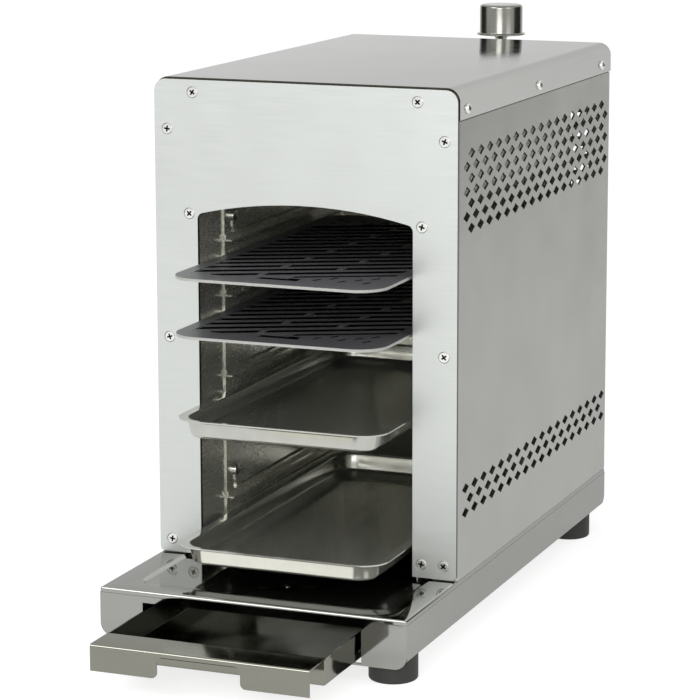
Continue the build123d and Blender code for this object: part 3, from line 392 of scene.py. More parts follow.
def enamel(word):
    """Matt black enamel on pressed steel: fine orange peel and a weak sheen. By the attribute recess the
    slots' walls get painted shade, black and without sheen, and the outer edge a paler painted
    highlight."""
    material, tree, shader = finish("matt enamel", {"Metallic": 0.0})
    peel = streaks(tree, (900.0, 900.0, 900.0), 3.0)
    depth = add(tree, "ShaderNodeAttribute", {"attribute_name": "recess"}).outputs["Fac"]
    # Painted light by the attribute recess: enamel, then a pale painted highlight for the outer edge,
    # then near-black painted shade for the slots' walls
    shade_and_highlight = add(tree, "ShaderNodeValToRGB", None, {"Fac": depth})
    stops = shade_and_highlight.color_ramp.elements
    stops[0].color = linear(word)
    stops[1].position = EDGE_HIGHLIGHT_MARK
    stops[1].color = linear("#BDBDB9")
    stops.new(SLOT_SHADE_MARK).color = linear("#050505")
    # The painted shade in the slots also takes away their sheen
    tree.links.new(ranged(tree, depth, 0.5, 0.0, 0.6, 0.9), shader.inputs["Specular IOR Level"])
    shade = add(tree, "ShaderNodeMix", {"data_type": "RGBA", "blend_type": "MULTIPLY", 0: 1.0},
                {6: shade_and_highlight.outputs[0], 7: tinted(tree, "#F0F0F0", peel, 0.12)})
    coat(tree, shader, shade.outputs[2], ranged(tree, peel, 0.40, 0.55), peel, 0.25, 0.05)
    return material


def rubber(word):
    """Moulded rubber: black, dull, with a little dust."""
    material, tree, shader = finish("moulded rubber", {"Metallic": 0.0})
    dust = streaks(tree, (400.0, 400.0, 400.0), 4.0)
    coat(tree, shader, tinted(tree, word, dust, 0.25), ranged(tree, dust, 0.55, 0.75))
    return material


def machined(name, word, roughness=0.22):
    """Turned or milled metal: fine tool marks round the piece."""
    return steel(name, word, roughness, 0.05, (300.0, 300.0, 1600.0), 0.05, 0.12)


def headed(word):
    """Bright screws: smooth heads whose cross recess, by the attribute recess, gets dark painted shade
    inside.
    """
    material, tree, shader = finish("bright screw steel", {"Metallic": 1.0, "Roughness": 0.22})
    depth = add(tree, "ShaderNodeAttribute", {"attribute_name": "recess"})
    # Painted shade in the cross recess
    blend = add(tree, "ShaderNodeMix", {"data_type": "RGBA", 6: linear(word), 7: linear("#1C1C1A")},
                {0: depth.outputs["Fac"]})
    tree.links.new(blend.outputs[2], shader.inputs["Base Color"])
    return material


def ceramic(word):
    """Pressed infrared tile: chalky, with burner holes at 2.5 mm drawn as dark dots of painted shade."""
    material, tree, shader = finish("burner ceramic", {"Metallic": 0.0})
    place = add(tree, "ShaderNodeTexCoord")
    cells = add(tree, "ShaderNodeTexVoronoi", {"Scale": 400.0, "Randomness": 0.0},
                {"Vector": place.outputs["Object"]})
    hole = ranged(tree, cells.outputs["Distance"], 0.0, 1.0, 0.25, 0.35)
    # Painted shade where the burner holes are
    blend = add(tree, "ShaderNodeValToRGB", None, {"Fac": hole})
    blend.color_ramp.elements[0].color = linear("#2A241D")
    blend.color_ramp.elements[1].color = linear(word)
    grit = streaks(tree, (700.0, 700.0, 700.0))
    coat(tree, shader, blend.outputs[0], ranged(tree, grit, 0.8, 0.95), hole, 0.5, 0.3)
    return material


def make_finishes(look):
    """All finishes by their material slot in the record."""
    FINISHES.update({
        "front_steel": front_steel(look.front),
        "side_steel": satin_steel("satin side steel", look.side),
        "cover_steel": steel("rolled cover steel", look.cover, 0.1, 0.04, (300.0, 20.0, 300.0), 0.02,
                             0.04, graze=0.62, cut_and_shade=1),
        "polished_steel": mirror_steel("polished deck steel", look.deck),
        "drawer_steel": mirror_steel("polished drawer steel", look.drawer, 0.12),
        "liner_steel": baked_steel("mill liner steel", look.chamber),
        "rack_steel": baked_steel("mill rack steel", look.chamber),
        "tray_steel": tray_steel(look.tray),
        "grate_black": enamel(look.enamel),
        "screw_steel": headed("#DADAD6"),
        "knob_steel": machined("turned knob steel", "#84847E", 0.2),
        "tap_brass": machined("machined brass", look.brass, 0.26),
        "probe_copper": machined("drawn copper", "#B87450", 0.3),
        "tile_ceramic": ceramic(look.ceramic),
        "foot_rubber": rubber(look.rubber),
    })


def dress_nodes():
    """Gives every CAD node that stays visible the finish of its slot."""
    slots = {row["node"]: row["material_slot"] for row in frame["record"]["subparts"]}
    for name, thing in frame["nodes"].items():
        thing.data.materials.clear()
        thing.data.materials.append(FINISHES[slots[name]])


# Case and cover

def cover_parts(size):
    """Cover: a level sheet whose long edges bend down through an arc, carried along the case."""
    low, high, bend = COVER_LOW, COVER_HIGH, size.cover_bend
    half, top = high[0], high[2]

    def carried(offset):
        """Cross-section from skirt to skirt, a distance below the surface, at three places."""
        right = arc((half - bend, top - bend), bend - offset, 0, 90, 14)
        left = arc((bend - half, top - bend), bend - offset, 90, 180, 14)
        line = np.vstack([[(half - offset, low[2])], right, left, [(offset - half, low[2])]])
        return np.stack([np.insert(line, 1, y, axis=1) for y in np.linspace(low[1], high[1], 3)])

    return shell(carried(0.0), carried(size.case_sheet))


class GRILL_OT_case(bpy.types.Operator):
    """Finishes for all sheets, and the cover with its rounded long edges"""
    bl_idname = "grill.case"
    bl_label = "Case and cover"

    def execute(self, context):
        size = context.scene.grill_sizes
        make_finishes(context.scene.grill_finish)
        dress_nodes()
        piece("cover_sheet", cover_parts(size), "case", "cover_steel", ["top_cover"])
        return {"FINISHED"}


# Base

DECK_SIDE, DECK_FRONT, DECK_BACK = 19 * MM, 17.5 * MM, 24 * MM
RECESS_CORNER, RECESS_BORDER, RECESS_DEPTH = 12 * MM, 5 * MM, 1.5 * MM
FUNNEL_BACK, DECK_CORNER = 65.5 * MM, 1.2 * MM
# Radius and fall of the drain funnel below the recess, in millimetres
FUNNEL = ((27, 0), (26, 0.12), (24.5, 0.5), (18, 1.5), (10, 2.9), (5.5, 3.7), (4.2, 4.1), (3.5, 4.8),
          (3.5, 6.4))
SPOUT_FROM = 5


def deck_rings(offset, size):
    """Rings a distance below the deck's surface: skirt, quarter-circle edge, border, recess wall as half
    a cosine wave, floor blending from a rounded rectangle to a circle, funnel."""
    low, high, bend = BASE_LOW, BASE_HIGH, size.base_bend
    half, middle = (high - low)[:2] / 2, (high + low)[:2] / 2
    recess = half - (DECK_SIDE, (DECK_FRONT + DECK_BACK) / 2)
    recess_middle = middle + (0, (DECK_FRONT - DECK_BACK) / 2)
    drain = (0.0, low[1] + FUNNEL_BACK)
    floor = high[2] - offset - RECESS_DEPTH
    rings = [frame_ring(half[0] - offset, half[1] - offset, DECK_CORNER, middle, high[2] - 2 * bend)]
    for turn in np.radians(np.linspace(0, 90, 7)):
        inward = bend - (bend - offset) * math.cos(turn)
        drop = bend - (bend - offset) * math.sin(turn)
        rings.append(frame_ring(half[0] - inward, half[1] - inward, DECK_CORNER, middle, high[2] - drop))
    for t in np.linspace(0, 1, 9):
        shrink = RECESS_BORDER * t
        fall = RECESS_DEPTH * (0.5 - 0.5 * math.cos(math.pi * t))
        rings.append(frame_ring(recess[0] - shrink, recess[1] - shrink, RECESS_CORNER - shrink,
                                recess_middle, high[2] - offset - fall))
    mouth = FUNNEL[0][0] * MM
    hole = frame_ring(mouth, mouth, mouth, drain, floor)
    rings += [rings[-1] * (1 - t) + hole * t for t in (0.2, 0.5, 0.8)]
    for radius, fall in FUNNEL:
        spread = radius * MM + offset * (radius < SPOUT_FROM)
        rings.append(frame_ring(spread, spread, spread, drain, floor - fall * MM))
    return np.stack(rings)


def deck_parts(size):
    """Deck: its rings, and the same a sheet's thickness below as the underside."""
    return shell(deck_rings(0.0, size), deck_rings(size.case_sheet, size), wrap=True)


SKIRT_CORNER, HEEL, SKIRT_LAP = 9.5 * MM, 7 * MM, 0.2 * MM
SLOT_SIDE_GAP, SLOT_SILL, SLOT_TOP_GAP = 2.4 * MM, 1.7 * MM, 4.7 * MM
SIDE_RISE, LIP_WIDTH, LIP_END = 6.3 * MM, 33.3 * MM, 8 * MM


def skirt_parts(size):
    """Skirts under the deck: a deep front one with the drawer's slot and rounded lower corners,
    side ones with inward lips, and a plain rear one."""
    low, high, sheet = BASE_LOW, BASE_HIGH, size.case_sheet
    top, half = high[2] - 2 * size.base_bend + SKIRT_LAP, high[0]
    slot_half = DRAWER_HIGH[0] + SLOT_SIDE_GAP
    slot_low, slot_top = low[2] + SLOT_SILL, DRAWER_HIGH[2] + SLOT_TOP_GAP
    parts = []
    for sign in (-1, 1):
        turn = arc((half - SKIRT_CORNER, low[2] + SKIRT_CORNER), SKIRT_CORNER, 270, 360, 12)
        outline = np.vstack([[(slot_half, slot_low), (slot_half, low[2])], turn,
                             [(half, top), (slot_half, top)]])
        outline[:, 0] *= sign
        parts.append(slab(outline, sheet, facing(1, low[1])))
    for z0, z1 in ((slot_top, top), (low[2], slot_low)):
        parts.append(slab(corners(-slot_half, slot_half, z0, z1), sheet, facing(1, low[1])))
    side_low, back = low[2] + SIDE_RISE, high[1]
    for sign in (-1, 1):
        turn = arc((back - HEEL, side_low + HEEL), HEEL, 270, 360, 10)
        outline = np.vstack([[(low[1] + sheet, top), (low[1] + sheet, side_low)], turn, [(back, top)]])
        parts.append(slab(outline, sheet, facing(0, sign * half, -sign)))
        lip = corners(sign * (half - sheet), sign * (half - LIP_WIDTH), low[1] + LIP_END, back - LIP_END)
        parts.append(slab(lip, sheet, facing(2, side_low)))
    rear = corners(sheet - half, half - sheet, side_low, top)
    parts.append(slab(rear, sheet, facing(1, back - sheet)))
    return parts


def foot_parts(node):
    """Foot: a profile with a screw pocket and a rounded lower edge, turned about the foot's axis."""
    low, high = span(node)
    middle, radius, tall = (low + high) / 2, (high[0] - low[0]) / 2, high[2] - low[2]
    pocket, deep, edge, chamfer = 4 * MM, 6 * MM, 2 * MM, 0.8 * MM
    profile = np.vstack([
        [(0, deep), (pocket, deep), (pocket + 0.1 * MM, 0.4 * MM), (pocket + 1 * MM, 0)],
        [(radius - edge - 0.2 * MM, 0)],
        arc((radius - edge, edge), edge, 270, 360, 6),
        [(radius, tall - chamfer), (radius - 0.6 * MM, tall), (0, tall)],
    ])
    return [turned(profile, (middle[0], middle[1], low[2]))]


class GRILL_OT_base(bpy.types.Operator):
    """Polished base with its pressed recess, drain funnel and skirts, and the rubber feet"""
    bl_idname = "grill.base"
    bl_label = "Base and feet"

    def execute(self, context):
        size = context.scene.grill_sizes
        piece("base_pressing", deck_parts(size) + skirt_parts(size), "case", "polished_steel",
              ["base_chassis"], sharp=30)
        for name in ("foot_front_left", "foot_front_right", "foot_rear_left", "foot_rear_right"):
            piece(name + "_pad", foot_parts(name), "case", "foot_rubber", [name])
        return {"FINISHED"}


# Drawer

LIP_REACH, LIP_FOLD, GRIP_DROP = 27.5 * MM, 2 * MM, 19 * MM
BOX_CORNER, BOX_BEND = 0.8 * MM, 1.6 * MM
NOTCH_HALF, NOTCH_RISE, NOTCH_ROUND = 31 * MM, 15.3 * MM, 4 * MM
# The grip starts this far above the lip's end to keep their points apart
GRIP_LAP = 0.02 * MM


def drawer_parts(size):
    """Drawer: rings round a shallow box with small bent edges, a level lip that bends down in front,
    and a grip with a rounded finger notch."""
    low, high, half, sheet = DRAWER_LOW, DRAWER_HIGH, DRAWER_HIGH[0], size.pan_sheet
    front = low[1] + LIP_REACH
    middle = ((low[0] + high[0]) / 2, (front + high[1]) / 2)
    deep = (high[1] - front) / 2
    rings = []
    for offset, order in ((0.0, 1), (sheet, -1)):
        bend, group = BOX_BEND - offset, []
        for turn in np.radians(np.arange(0, 91, 15)):
            inward = offset + bend - bend * math.sin(turn)
            group.append(frame_ring(half - inward, deep - inward, BOX_CORNER, middle,
                                    low[2] + offset + bend - bend * math.cos(turn), 4))
        group.append(frame_ring(half - offset, deep - offset, BOX_CORNER, middle, high[2], 4))
        rings += group[::order]
    lip = []
    for offset in (0.0, sheet):
        bend = arc((low[1] + LIP_FOLD, high[2] - LIP_FOLD), LIP_FOLD - offset, 90, 180, 8)
        line = np.vstack([[(front + sheet, high[2] - offset)], bend,
                          [(low[1] + offset, high[2] - 2 * LIP_FOLD)]])
        lip.append(np.stack([np.insert(line, 0, x, axis=1) for x in (-half, half)]))
    base, top = high[2] - GRIP_DROP, high[2] - 2 * LIP_FOLD + GRIP_LAP
    right = np.vstack([
        [(half, top), (half, base)],
        arc((NOTCH_HALF + NOTCH_ROUND, base + NOTCH_ROUND), NOTCH_ROUND, 270, 180, 8),
        arc((NOTCH_HALF - NOTCH_ROUND, base + NOTCH_RISE - NOTCH_ROUND), NOTCH_ROUND, 0, 90, 8),
    ])
    left = right[::-1] * (-1, 1)
    return [pan(rings)] + shell(*lip) + [slab(np.vstack([right, left]), sheet, facing(1, low[1]))]


class GRILL_OT_drawer(bpy.types.Operator):
    """Drip drawer with its lip and notched grip"""
    bl_idname = "grill.drawer"
    bl_label = "Drip drawer"

    def execute(self, context):
        size = context.scene.grill_sizes
        piece("drip_drawer_pan", drawer_parts(size), "drawer", "drawer_steel", ["drip_drawer"])
        return {"FINISHED"}


# Trays

RIM_X, RIM_Y, WALL_LEAN = 6.5 * MM, 3.0 * MM, 2.5 * MM
FLOOR_BEND, LIP_BEND = 3.4 * MM, 1.0 * MM
# Where the rim's bend starts inside the wall's top, by its radius
LIP_START = 0.2


def tray_parts(node, size):
    """Tray: rings from the middle of the floor up the leaning wall, over a soft edge and out to the
    level rim, then back below it one sheet lower."""
    low, high = span(node)
    middle, half = (low + high) / 2, (high - low) / 2
    corner, sheet = size.tray_corner, size.pan_sheet

    def at(inward, z):
        """Ring a distance inside the wall's top edge."""
        return frame_ring(half[0] - RIM_X - inward, half[1] - RIM_Y - inward, corner - RIM_Y - inward,
                          middle, z, 14)

    rings = []
    for offset, order in ((sheet, 1), (0.0, -1)):
        group, top = [], high[2] - (sheet - offset)
        bend, lip = FLOOR_BEND - offset, LIP_BEND + (sheet - offset)
        for turn in np.radians(np.arange(0, 91, 10)):
            inward = WALL_LEAN + offset + bend * (1 - math.sin(turn))
            group.append(at(inward, low[2] + offset + bend * (1 - math.cos(turn))))
        for turn in np.radians(np.arange(10, 91, 16)):
            inward = offset + lip * LIP_START - lip * (1 - math.cos(turn))
            group.append(at(inward, top - lip * (1 - math.sin(turn))))
        group.append(frame_ring(half[0], half[1], corner, middle, top, 14))
        rings += group[::order]
    return [pan(rings)]


class GRILL_OT_trays(bpy.types.Operator):
    """Two drawn trays with level rims"""
    bl_idname = "grill.trays"
    bl_label = "Trays"

    def execute(self, context):
        size = context.scene.grill_sizes
        for name in ("upper_tray", "lower_tray"):
            piece(name + "_pan", tray_parts(name, size), name, "tray_steel", [name], sharp=50)
        return {"FINISHED"}


# Grates

# Slots about a grate's centre, in millimetres. Step and half width are measured along Y.
SLOT_TURN = math.radians(25.5)
SLANT = math.tan(SLOT_TURN)
STEP, HALF_SLOT = 16.1 / math.cos(SLOT_TURN), 7.7 / 2 / math.cos(SLOT_TURN)
FIELD_X, FIELD_Y = 70.0, 134.5
# Ties: width, middle x in even and odd rows, lean from row to row, and reach into the bars
TIE, TIE_X, TIE_LEAN, TIE_LAP = 4.5, (-14.0, 30.0), math.tan(math.radians(4.3)), 1.5
# Level slot at either end: middle x and half sizes
END_X, END_HALF_X, END_HALF_Y = 3.0, 15.5, 4.2
# Drain dashes: turn, half length, width by length, first place and steps
DASH_TURN, DASH_HALF, DASH_WIDTH = math.radians(65), 4.0, 0.3
DASH_X, DASH_Y, DASH_STEP_X, DASH_STEP_Y = 62.0, -129.0, 19.0, 9.0
# Rim round the field, and how far the bars run in under it
RIM_GAP_X, RIM_GAP_Y, BAR_LAP = 1.0, 1.5, 2.0
# Steps that keep plate, bars and ties apart, and the width of the painted highlight along the outer
# edge, in metres
PLATE_INSET, PLATE_STEP, BAR_STEP, TIE_STEP = 0.5 * MM, 0.01 * MM, 0.02 * MM, 0.03 * MM
EDGE_WIDTH = 1.2 * MM


def tie_place(row):
    """Middle x of a row's tie, in millimetres: left and right in turn, leaning a little."""
    return TIE_X[row % 2] + row * STEP * TIE_LEAN


def row_ends(row):
    """X places where a row's slanted line leaves the field."""
    return max(-FIELD_X, (-FIELD_Y - row * STEP) / SLANT), min(FIELD_X, (FIELD_Y - row * STEP) / SLANT)


def leaning(row, x0, x1, half):
    """Parallelogram about a row's slanted line between two x places, its ends parallel to the sides."""
    y0, y1 = row * STEP + x0 * SLANT, row * STEP + x1 * SLANT
    return [(x0, y0 - half), (x1, y1 - half), (x1, y1 + half), (x0, y0 + half)]


def slots():
    """Slots of a grate: rows parted by ties, half a row first and last, and the level end slots."""
    holes = []
    for row in range(-6, 7):
        start, end = row_ends(row)
        holes.append(leaning(row, start, tie_place(row) - TIE / 2, HALF_SLOT))
        holes.append(leaning(row, tie_place(row) + TIE / 2, end, HALF_SLOT))
    holes += [leaning(-7, END_X, FIELD_X, HALF_SLOT), leaning(7, -FIELD_X, -END_X, HALF_SLOT)]
    end = np.array(corners(-END_HALF_X, END_HALF_X, -END_HALF_Y, END_HALF_Y))
    return holes + [end + (END_X * sign, FIELD_Y * sign) for sign in (-1, 1)]


def dashes():
    """Short drain slots in two corners of a grate: rows of three, two and one."""
    along = np.array([math.cos(DASH_TURN), math.sin(DASH_TURN)]) * DASH_HALF
    across = np.array([-along[1], along[0]]) * DASH_WIDTH
    holes = []
    for sign in (-1, 1):
        for row in range(3):
            for k in range(3 - row):
                x = DASH_X - DASH_STEP_X * (k + (row % 2) / 2)
                centre = np.array([x, DASH_STEP_Y * row + DASH_Y]) * -sign
                holes.append([centre - along - across, centre + along - across, centre + along + across,
                              centre - along + across])
    return holes


def field():
    """Outline round all slots of a grate: a rectangle that follows the first, last and end slots."""
    side, end = FIELD_X + RIM_GAP_X, FIELD_Y + RIM_GAP_Y
    x0, x1 = -END_X - END_HALF_X, END_HALF_X - END_X
    y0, y1 = -FIELD_Y - END_HALF_Y, END_HALF_Y - FIELD_Y
    low = [(-side, -end), (x0, -end), (x0, y0), (x1, y0), (x1, y1), (END_X, y1)]
    low += leaning(-7, END_X, side, HALF_SLOT)[:2]
    return low + [(-x, -y) for x, y in low]


def bar(row, low, high, middle, crown):
    """Bar between two slots: straight along, and across it a cosine that stands up by the crown."""
    u = np.linspace(0, 1, 25)[:, None]
    v = np.linspace(-1, 1, 9)[None, :]
    start, end = row_ends(row + 0.5)
    start, end = start - BAR_LAP, end + BAR_LAP
    x = (start + (end - start) * u) * np.ones_like(v)
    y = (row + 0.5) * STEP + x * SLANT + v * (STEP / 2 - HALF_SLOT)
    z = high - BAR_STEP - crown * (1 - np.cos(v * math.pi / 2)) * np.ones_like(u)
    top = np.stack([x * MM + middle[0], y * MM + middle[1], z], -1)
    under = top.copy()
    under[..., 2] = low + BAR_STEP
    return shell(top, under)


def grate_parts(node, size):
    """Grate: a low plate pierced by the slots, a rim of full height round them, the crowned bars and the
    ties. Also gives each face its mark: painted shade on the slots' walls, a painted highlight on the
    outer edge."""
    low, high = span(node)
    middle, half = (low[:2] + high[:2]) / 2, (high[:2] - low[:2]) / 2
    corner, crown = size.grate_corner, size.bar_crown

    def outline(inset):
        """The grate's rounded outline, a distance inside it."""
        return frame_ring(half[0] - inset, half[1] - inset, corner - inset, middle, 0, 16)[:, :2]

    def placed(holes):
        """Holes drawn in millimetres, moved to the grate's place."""
        return [np.array(hole) * MM + middle for hole in holes]

    plate = pierced(outline(PLATE_INSET), placed(slots() + dashes()), low[2] + PLATE_STEP,
                    high[2] - crown)
    rim = pierced(outline(0.0), placed([field()] + dashes()), low[2], high[2])
    parts, marks = [plate, rim], []
    for points, faces in parts:
        shapes = [points[list(face)] for face in faces]
        wall = np.array([np.ptp(shape[:, 2]) > 0.1 * MM for shape in shapes])
        turn = [np.maximum(np.abs(shape[:, :2] - middle) - half + corner, 0) for shape in shapes]
        inside = np.array([np.max(np.linalg.norm(t, axis=1)) < corner - EDGE_WIDTH for t in turn])
        # Walls away from the outer edge get the painted shade of the slots, the outer edge's walls the
        # painted highlight
        marks.append(np.where(wall, np.where(inside, SLOT_SHADE_MARK, EDGE_HIGHLIGHT_MARK), 0.0))
    for row in range(-7, 7):
        strips = bar(row, low[2], high[2], middle, crown)
        parts += strips
        # The bars' walls get the painted shade of the slots
        marks += [np.full(len(faces), SLOT_SHADE_MARK * (k > 1)) for k, (_, faces) in enumerate(strips)]
    for row in range(-6, 7):
        x = tie_place(row)
        edge = placed([leaning(row, x - TIE / 2, x + TIE / 2, HALF_SLOT + TIE_LAP)])[0]
        tie = pierced(edge, [], low[2] + TIE_STEP, high[2] - PLATE_STEP)
        parts.append(tie)
        marks.append(np.zeros(len(tie[1])))
    return parts, np.concatenate(marks)


class GRILL_OT_grates(bpy.types.Operator):
    """Two enamelled grates with slanted slots and crowned bars"""
    bl_idname = "grill.grates"
    bl_label = "Grates"

    def execute(self, context):
        size = context.scene.grill_sizes
        for name in ("upper_grate", "lower_grate"):
            parts, marks = grate_parts(name, size)
            piece(name + "_plate", parts, name, "grate_black", [name], sharp=50, marks=marks)
        return {"FINISHED"}


# Knob

KNOB_RADIUS, HUB_LOW, HUB_HIGH = 18.2 * MM, 4.6 * MM, 6.2 * MM
BRIM_RISE, BRIM_SHEET, FILLET = 4.2 * MM, 1.5 * MM, 0.8 * MM
# Fall of the knob's top at its edge and further in, at a share of its radius
TOP_FALL, INNER_FALL, INNER_SHARE = 0.15 * MM, 0.05 * MM, 0.6


def knob_parts(size):
    """Knob: hub, brim with a round edge, fillet, body with a rounded edge and a slightly domed top, as
    one profile turned about the knob's axis."""
    low, high, edge, round_r = KNOB_LOW, KNOB_HIGH, size.knob_edge, BRIM_SHEET / 2
    middle, brim, brim_z = (low + high) / 2, (high[0] - low[0]) / 2, low[2] + BRIM_RISE
    profile = np.vstack([
        [(0, low[2]), (HUB_LOW, low[2]), (HUB_HIGH, brim_z), (brim - FILLET, brim_z)],
        arc((brim - round_r, brim_z + round_r), round_r, 270, 450, 9),
        arc((KNOB_RADIUS + FILLET, brim_z + BRIM_SHEET + FILLET), FILLET, 270, 180, 5),
        arc((KNOB_RADIUS - edge, high[2] - edge - TOP_FALL), edge, 0, 88, 12),
        [(KNOB_RADIUS * INNER_SHARE, high[2] - INNER_FALL), (0, high[2])],
    ])
    return [turned(profile, (middle[0], middle[1], 0), count=96)]


class GRILL_OT_knob(bpy.types.Operator):
    """Turned control knob with its brim"""
    bl_idname = "grill.knob"
    bl_label = "Control knob"

    def execute(self, context):
        size = context.scene.grill_sizes
        piece("control_knob_body", knob_parts(size), "knob", "knob_steel", ["control_knob"])
        return {"FINISHED"}


# Screws

# Points round a screw, a cross's width by its length, its depth, the shank's radius, a dome's rise
ROUND, ARM_SHARE, RECESS_FALL, SHANK, DOME_RISE = 64, 0.28, 1.5, 2.0, 2.2 * MM
# Rows of the recess from its middle: share of its outline, and of its floor's height
CROSS = ((0.0, 1.0), (0.55, 1.0), (0.9, 0.4))
# Heads from the recess outwards: radius and height in millimetres
SINK = [(2.9, 0.0), (3.6, -0.05), (3.95, -0.35), (3.95, -0.6), (2.0, -2.4)]
DOME = [(1.9, 2.1), (2.8, 1.85), (3.5, 1.3), (3.85, 0.6), (3.9, 0.0)]
# Piece, node, ways of the left and right screws, head, rise, shank's length in millimetres, seed
SCREWS = (
    ("front_screws", "front_panel_screws", ("-Y", "-Y"), SINK, 0.0, 6, 3),
    ("cover_heads", "cover_screws", ("-X", "+X"), DOME, DOME_RISE, 5, 5),
    ("rear_heads", "rear_panel_screws", ("+Y", "+Y"), DOME, DOME_RISE, 5, 7),
    ("bracket_heads", "bracket_screws", ("+Y", "+Y"), DOME, DOME_RISE, 5, 9),
)
BOLT_RADIUS, BOLT_ROUND, BOLT_HEAD = 4.3 * MM, 0.7 * MM, 3.3 * MM
BOLT_NECK, BOLT_END = 2.4 * MM, 5 * MM


def cross_radius(angle, arm, half_width):
    """Distance from the middle to a plus sign's edge: the nearer of an arm's end and side."""
    local = (angle + math.pi / 4) % (math.pi / 2) - math.pi / 4
    end = arm / np.cos(local)
    side = half_width / np.maximum(np.abs(np.sin(local)), 1e-6)
    return np.minimum(end, side)


def screw_head(profile, arm, turn, shank_len):
    """Screw along +Z in millimetres: a cross recess that narrows downwards, the head's own profile
    from the recess out and down, and a plain shank."""
    angle = np.linspace(0, 2 * math.pi, ROUND, endpoint=False)
    cross = cross_radius(angle + turn, arm, arm * ARM_SHARE)
    (first, top), end = profile[0], profile[-1][1]
    rows = [(cross * share, (top - RECESS_FALL) * height) for share, height in CROSS]
    rows += [(cross * (1 - t) + first * t, top) for t in (0, 0.35, 0.7)]
    rows += profile + [(SHANK, end - 0.01), (SHANK, end - shank_len), (0.0, end - shank_len)]
    points = [np.stack([r * np.cos(angle), r * np.sin(angle), np.full(ROUND, z)], -1) for r, z in rows]
    return grid(np.stack(points), wrap=True)


def turned_to(points, way):
    """Turns a screw drawn along +Z so that its head looks along way."""
    x, y, z = points.T
    table = {"-Y": (x, -z, y), "+Y": (-x, z, y), "+X": (z, x, y), "-X": (-z, -x, y)}
    return np.stack(table[way], 1)


def screw_parts(arm, node, ways, profile, rise, shank_len, seed):
    """All screws of a node, each at its own turn, its head ending at its solid's outer face."""
    rng = np.random.default_rng(seed)
    parts = []
    for low, high in solids(node):
        way = ways[int(low[0] > 0)]
        axis, sign = "XYZ".index(way[1]), 1 if way[0] == "+" else -1
        place = (low + high) / 2
        place[axis] = (high if sign > 0 else low)[axis] - sign * rise
        points, faces = screw_head(profile, arm / MM / 2, rng.uniform(0, math.pi / 2), shank_len)
        parts.append((turned_to(points * MM, way) + place, faces))
    return parts


def bolt_parts():
    """Shoulder bolts of the racks: round-edged heads whose necks reach into the posts."""
    end = BOLT_HEAD + BOLT_END
    profile = np.vstack([
        [(0, 0)], arc((BOLT_RADIUS - BOLT_ROUND, BOLT_ROUND), BOLT_ROUND, 270, 360, 6),
        [(BOLT_RADIUS, BOLT_HEAD), (BOLT_NECK, BOLT_HEAD), (BOLT_NECK, end), (0, end)],
    ])
    parts = []
    for low, high in solids("rack_bolts"):
        sign = 1 if low[0] > 0 else -1
        centre = (low + high) / 2
        centre[0] = low[0] if sign > 0 else high[0]
        parts.append(turned(profile, centre, "X", 40, sign))
    return parts


def solids(node):
    """Boxes of the loose solids of a CAD node, found by following the edges between points."""
    copy = bmesh.new()
    copy.from_mesh(frame["nodes"][node].data)
    bmesh.ops.remove_doubles(copy, verts=copy.verts, dist=1e-6)
    seen, found = set(), []
    for start in copy.verts:
        if start in seen:
            continue
        stack, group = [start], []
        seen.add(start)
        while stack:
            vertex = stack.pop()
            group.append(vertex.co)
            for edge in vertex.link_edges:
                other = edge.other_vert(vertex)
                if other not in seen:
                    seen.add(other)
                    stack.append(other)
        group = np.array(group)
        found.append((group.min(0), group.max(0)))
    copy.free()
    return found


class GRILL_OT_screws(bpy.types.Operator):
    """Cross-head screws of the case, and the shoulder bolts of the racks"""
    bl_idname = "grill.screws"
    bl_label = "Screws and bolts"

    def execute(self, context):
        arm = context.scene.grill_sizes.screw_cross
        for name, node, *drawing in SCREWS:
            parts = screw_parts(arm, node, *drawing)
            # The faces of the cross recess get the mark for painted shade
            marks = [np.arange(len(faces)) < len(CROSS) * ROUND for _, faces in parts]
            piece(name, parts, "case", "screw_steel", [node], sharp=30, marks=np.concatenate(marks))
        piece("rack_shoulder_bolts", bolt_parts(), "case", "screw_steel", ["rack_bolts"])
        return {"FINISHED"}


# Stage

# Name, place, target, watts, width and height
LAMPS = (
    ("key", (-1.2, -2.2, 2.0), (0, -0.1, 0.2), 30.0, (1.6, 1.2)),
    ("fill", (2.4, -1.2, 1.4), (0, 0, 0.2), 14.0, (1.2, 1.6)),
    ("chamber", (0.35, -1.7, 0.75), (0, 0.1, 0.2), 10.0, (0.9, 0.5)),
)
# Name, place, target, width and height
CARDS = (
    ("right_card", (1.7, 1.2, 0.5), (0, 0, 0.3), (2.0, 1.6)),
    ("left_card", (-1.7, 0.3, 0.6), (0, 0, 0.3), (1.6, 1.4)),
)
CARD_GREY = "#50504B"
FLOOR_SIZE, FLOOR_MATT, FLOOR_GLOW = 24.0, 0.45, 0.76
# The surroundings light the object with less than they show behind it
WORLD_LIGHT, WORLD_SHOWN = 0.55, 1.0
WHITE = (1, 1, 1, 1)
# Camera: focal length by the picture's width, shifts, turns in degrees and place
FOCAL, SENSOR, SHIFT = 2829.9 / 700, 36.0, (-0.0514, -0.1)
CAMERA_YAW, CAMERA_PITCH, CAMERA_PLACE = 21.139, 10.134, (0.7801, -1.9882, 0.6218)


def aim(thing, place, target, axis):
    """Links an object to the scene at a place, with one of its axes towards the target."""
    thing.location = place
    thing.rotation_euler = (Vector(target) - Vector(place)).to_track_quat(axis, "Y").to_euler()
    bpy.context.scene.collection.objects.link(thing)


def rectangle(name, width, depth):
    """Mesh of one level rectangle about its origin."""
    mesh = bpy.data.meshes.new(name)
    x, y = width / 2, depth / 2
    mesh.from_pydata([(-x, -y, 0), (x, -y, 0), (x, y, 0), (-x, y, 0)], [], [(0, 1, 2, 3)])
    return mesh


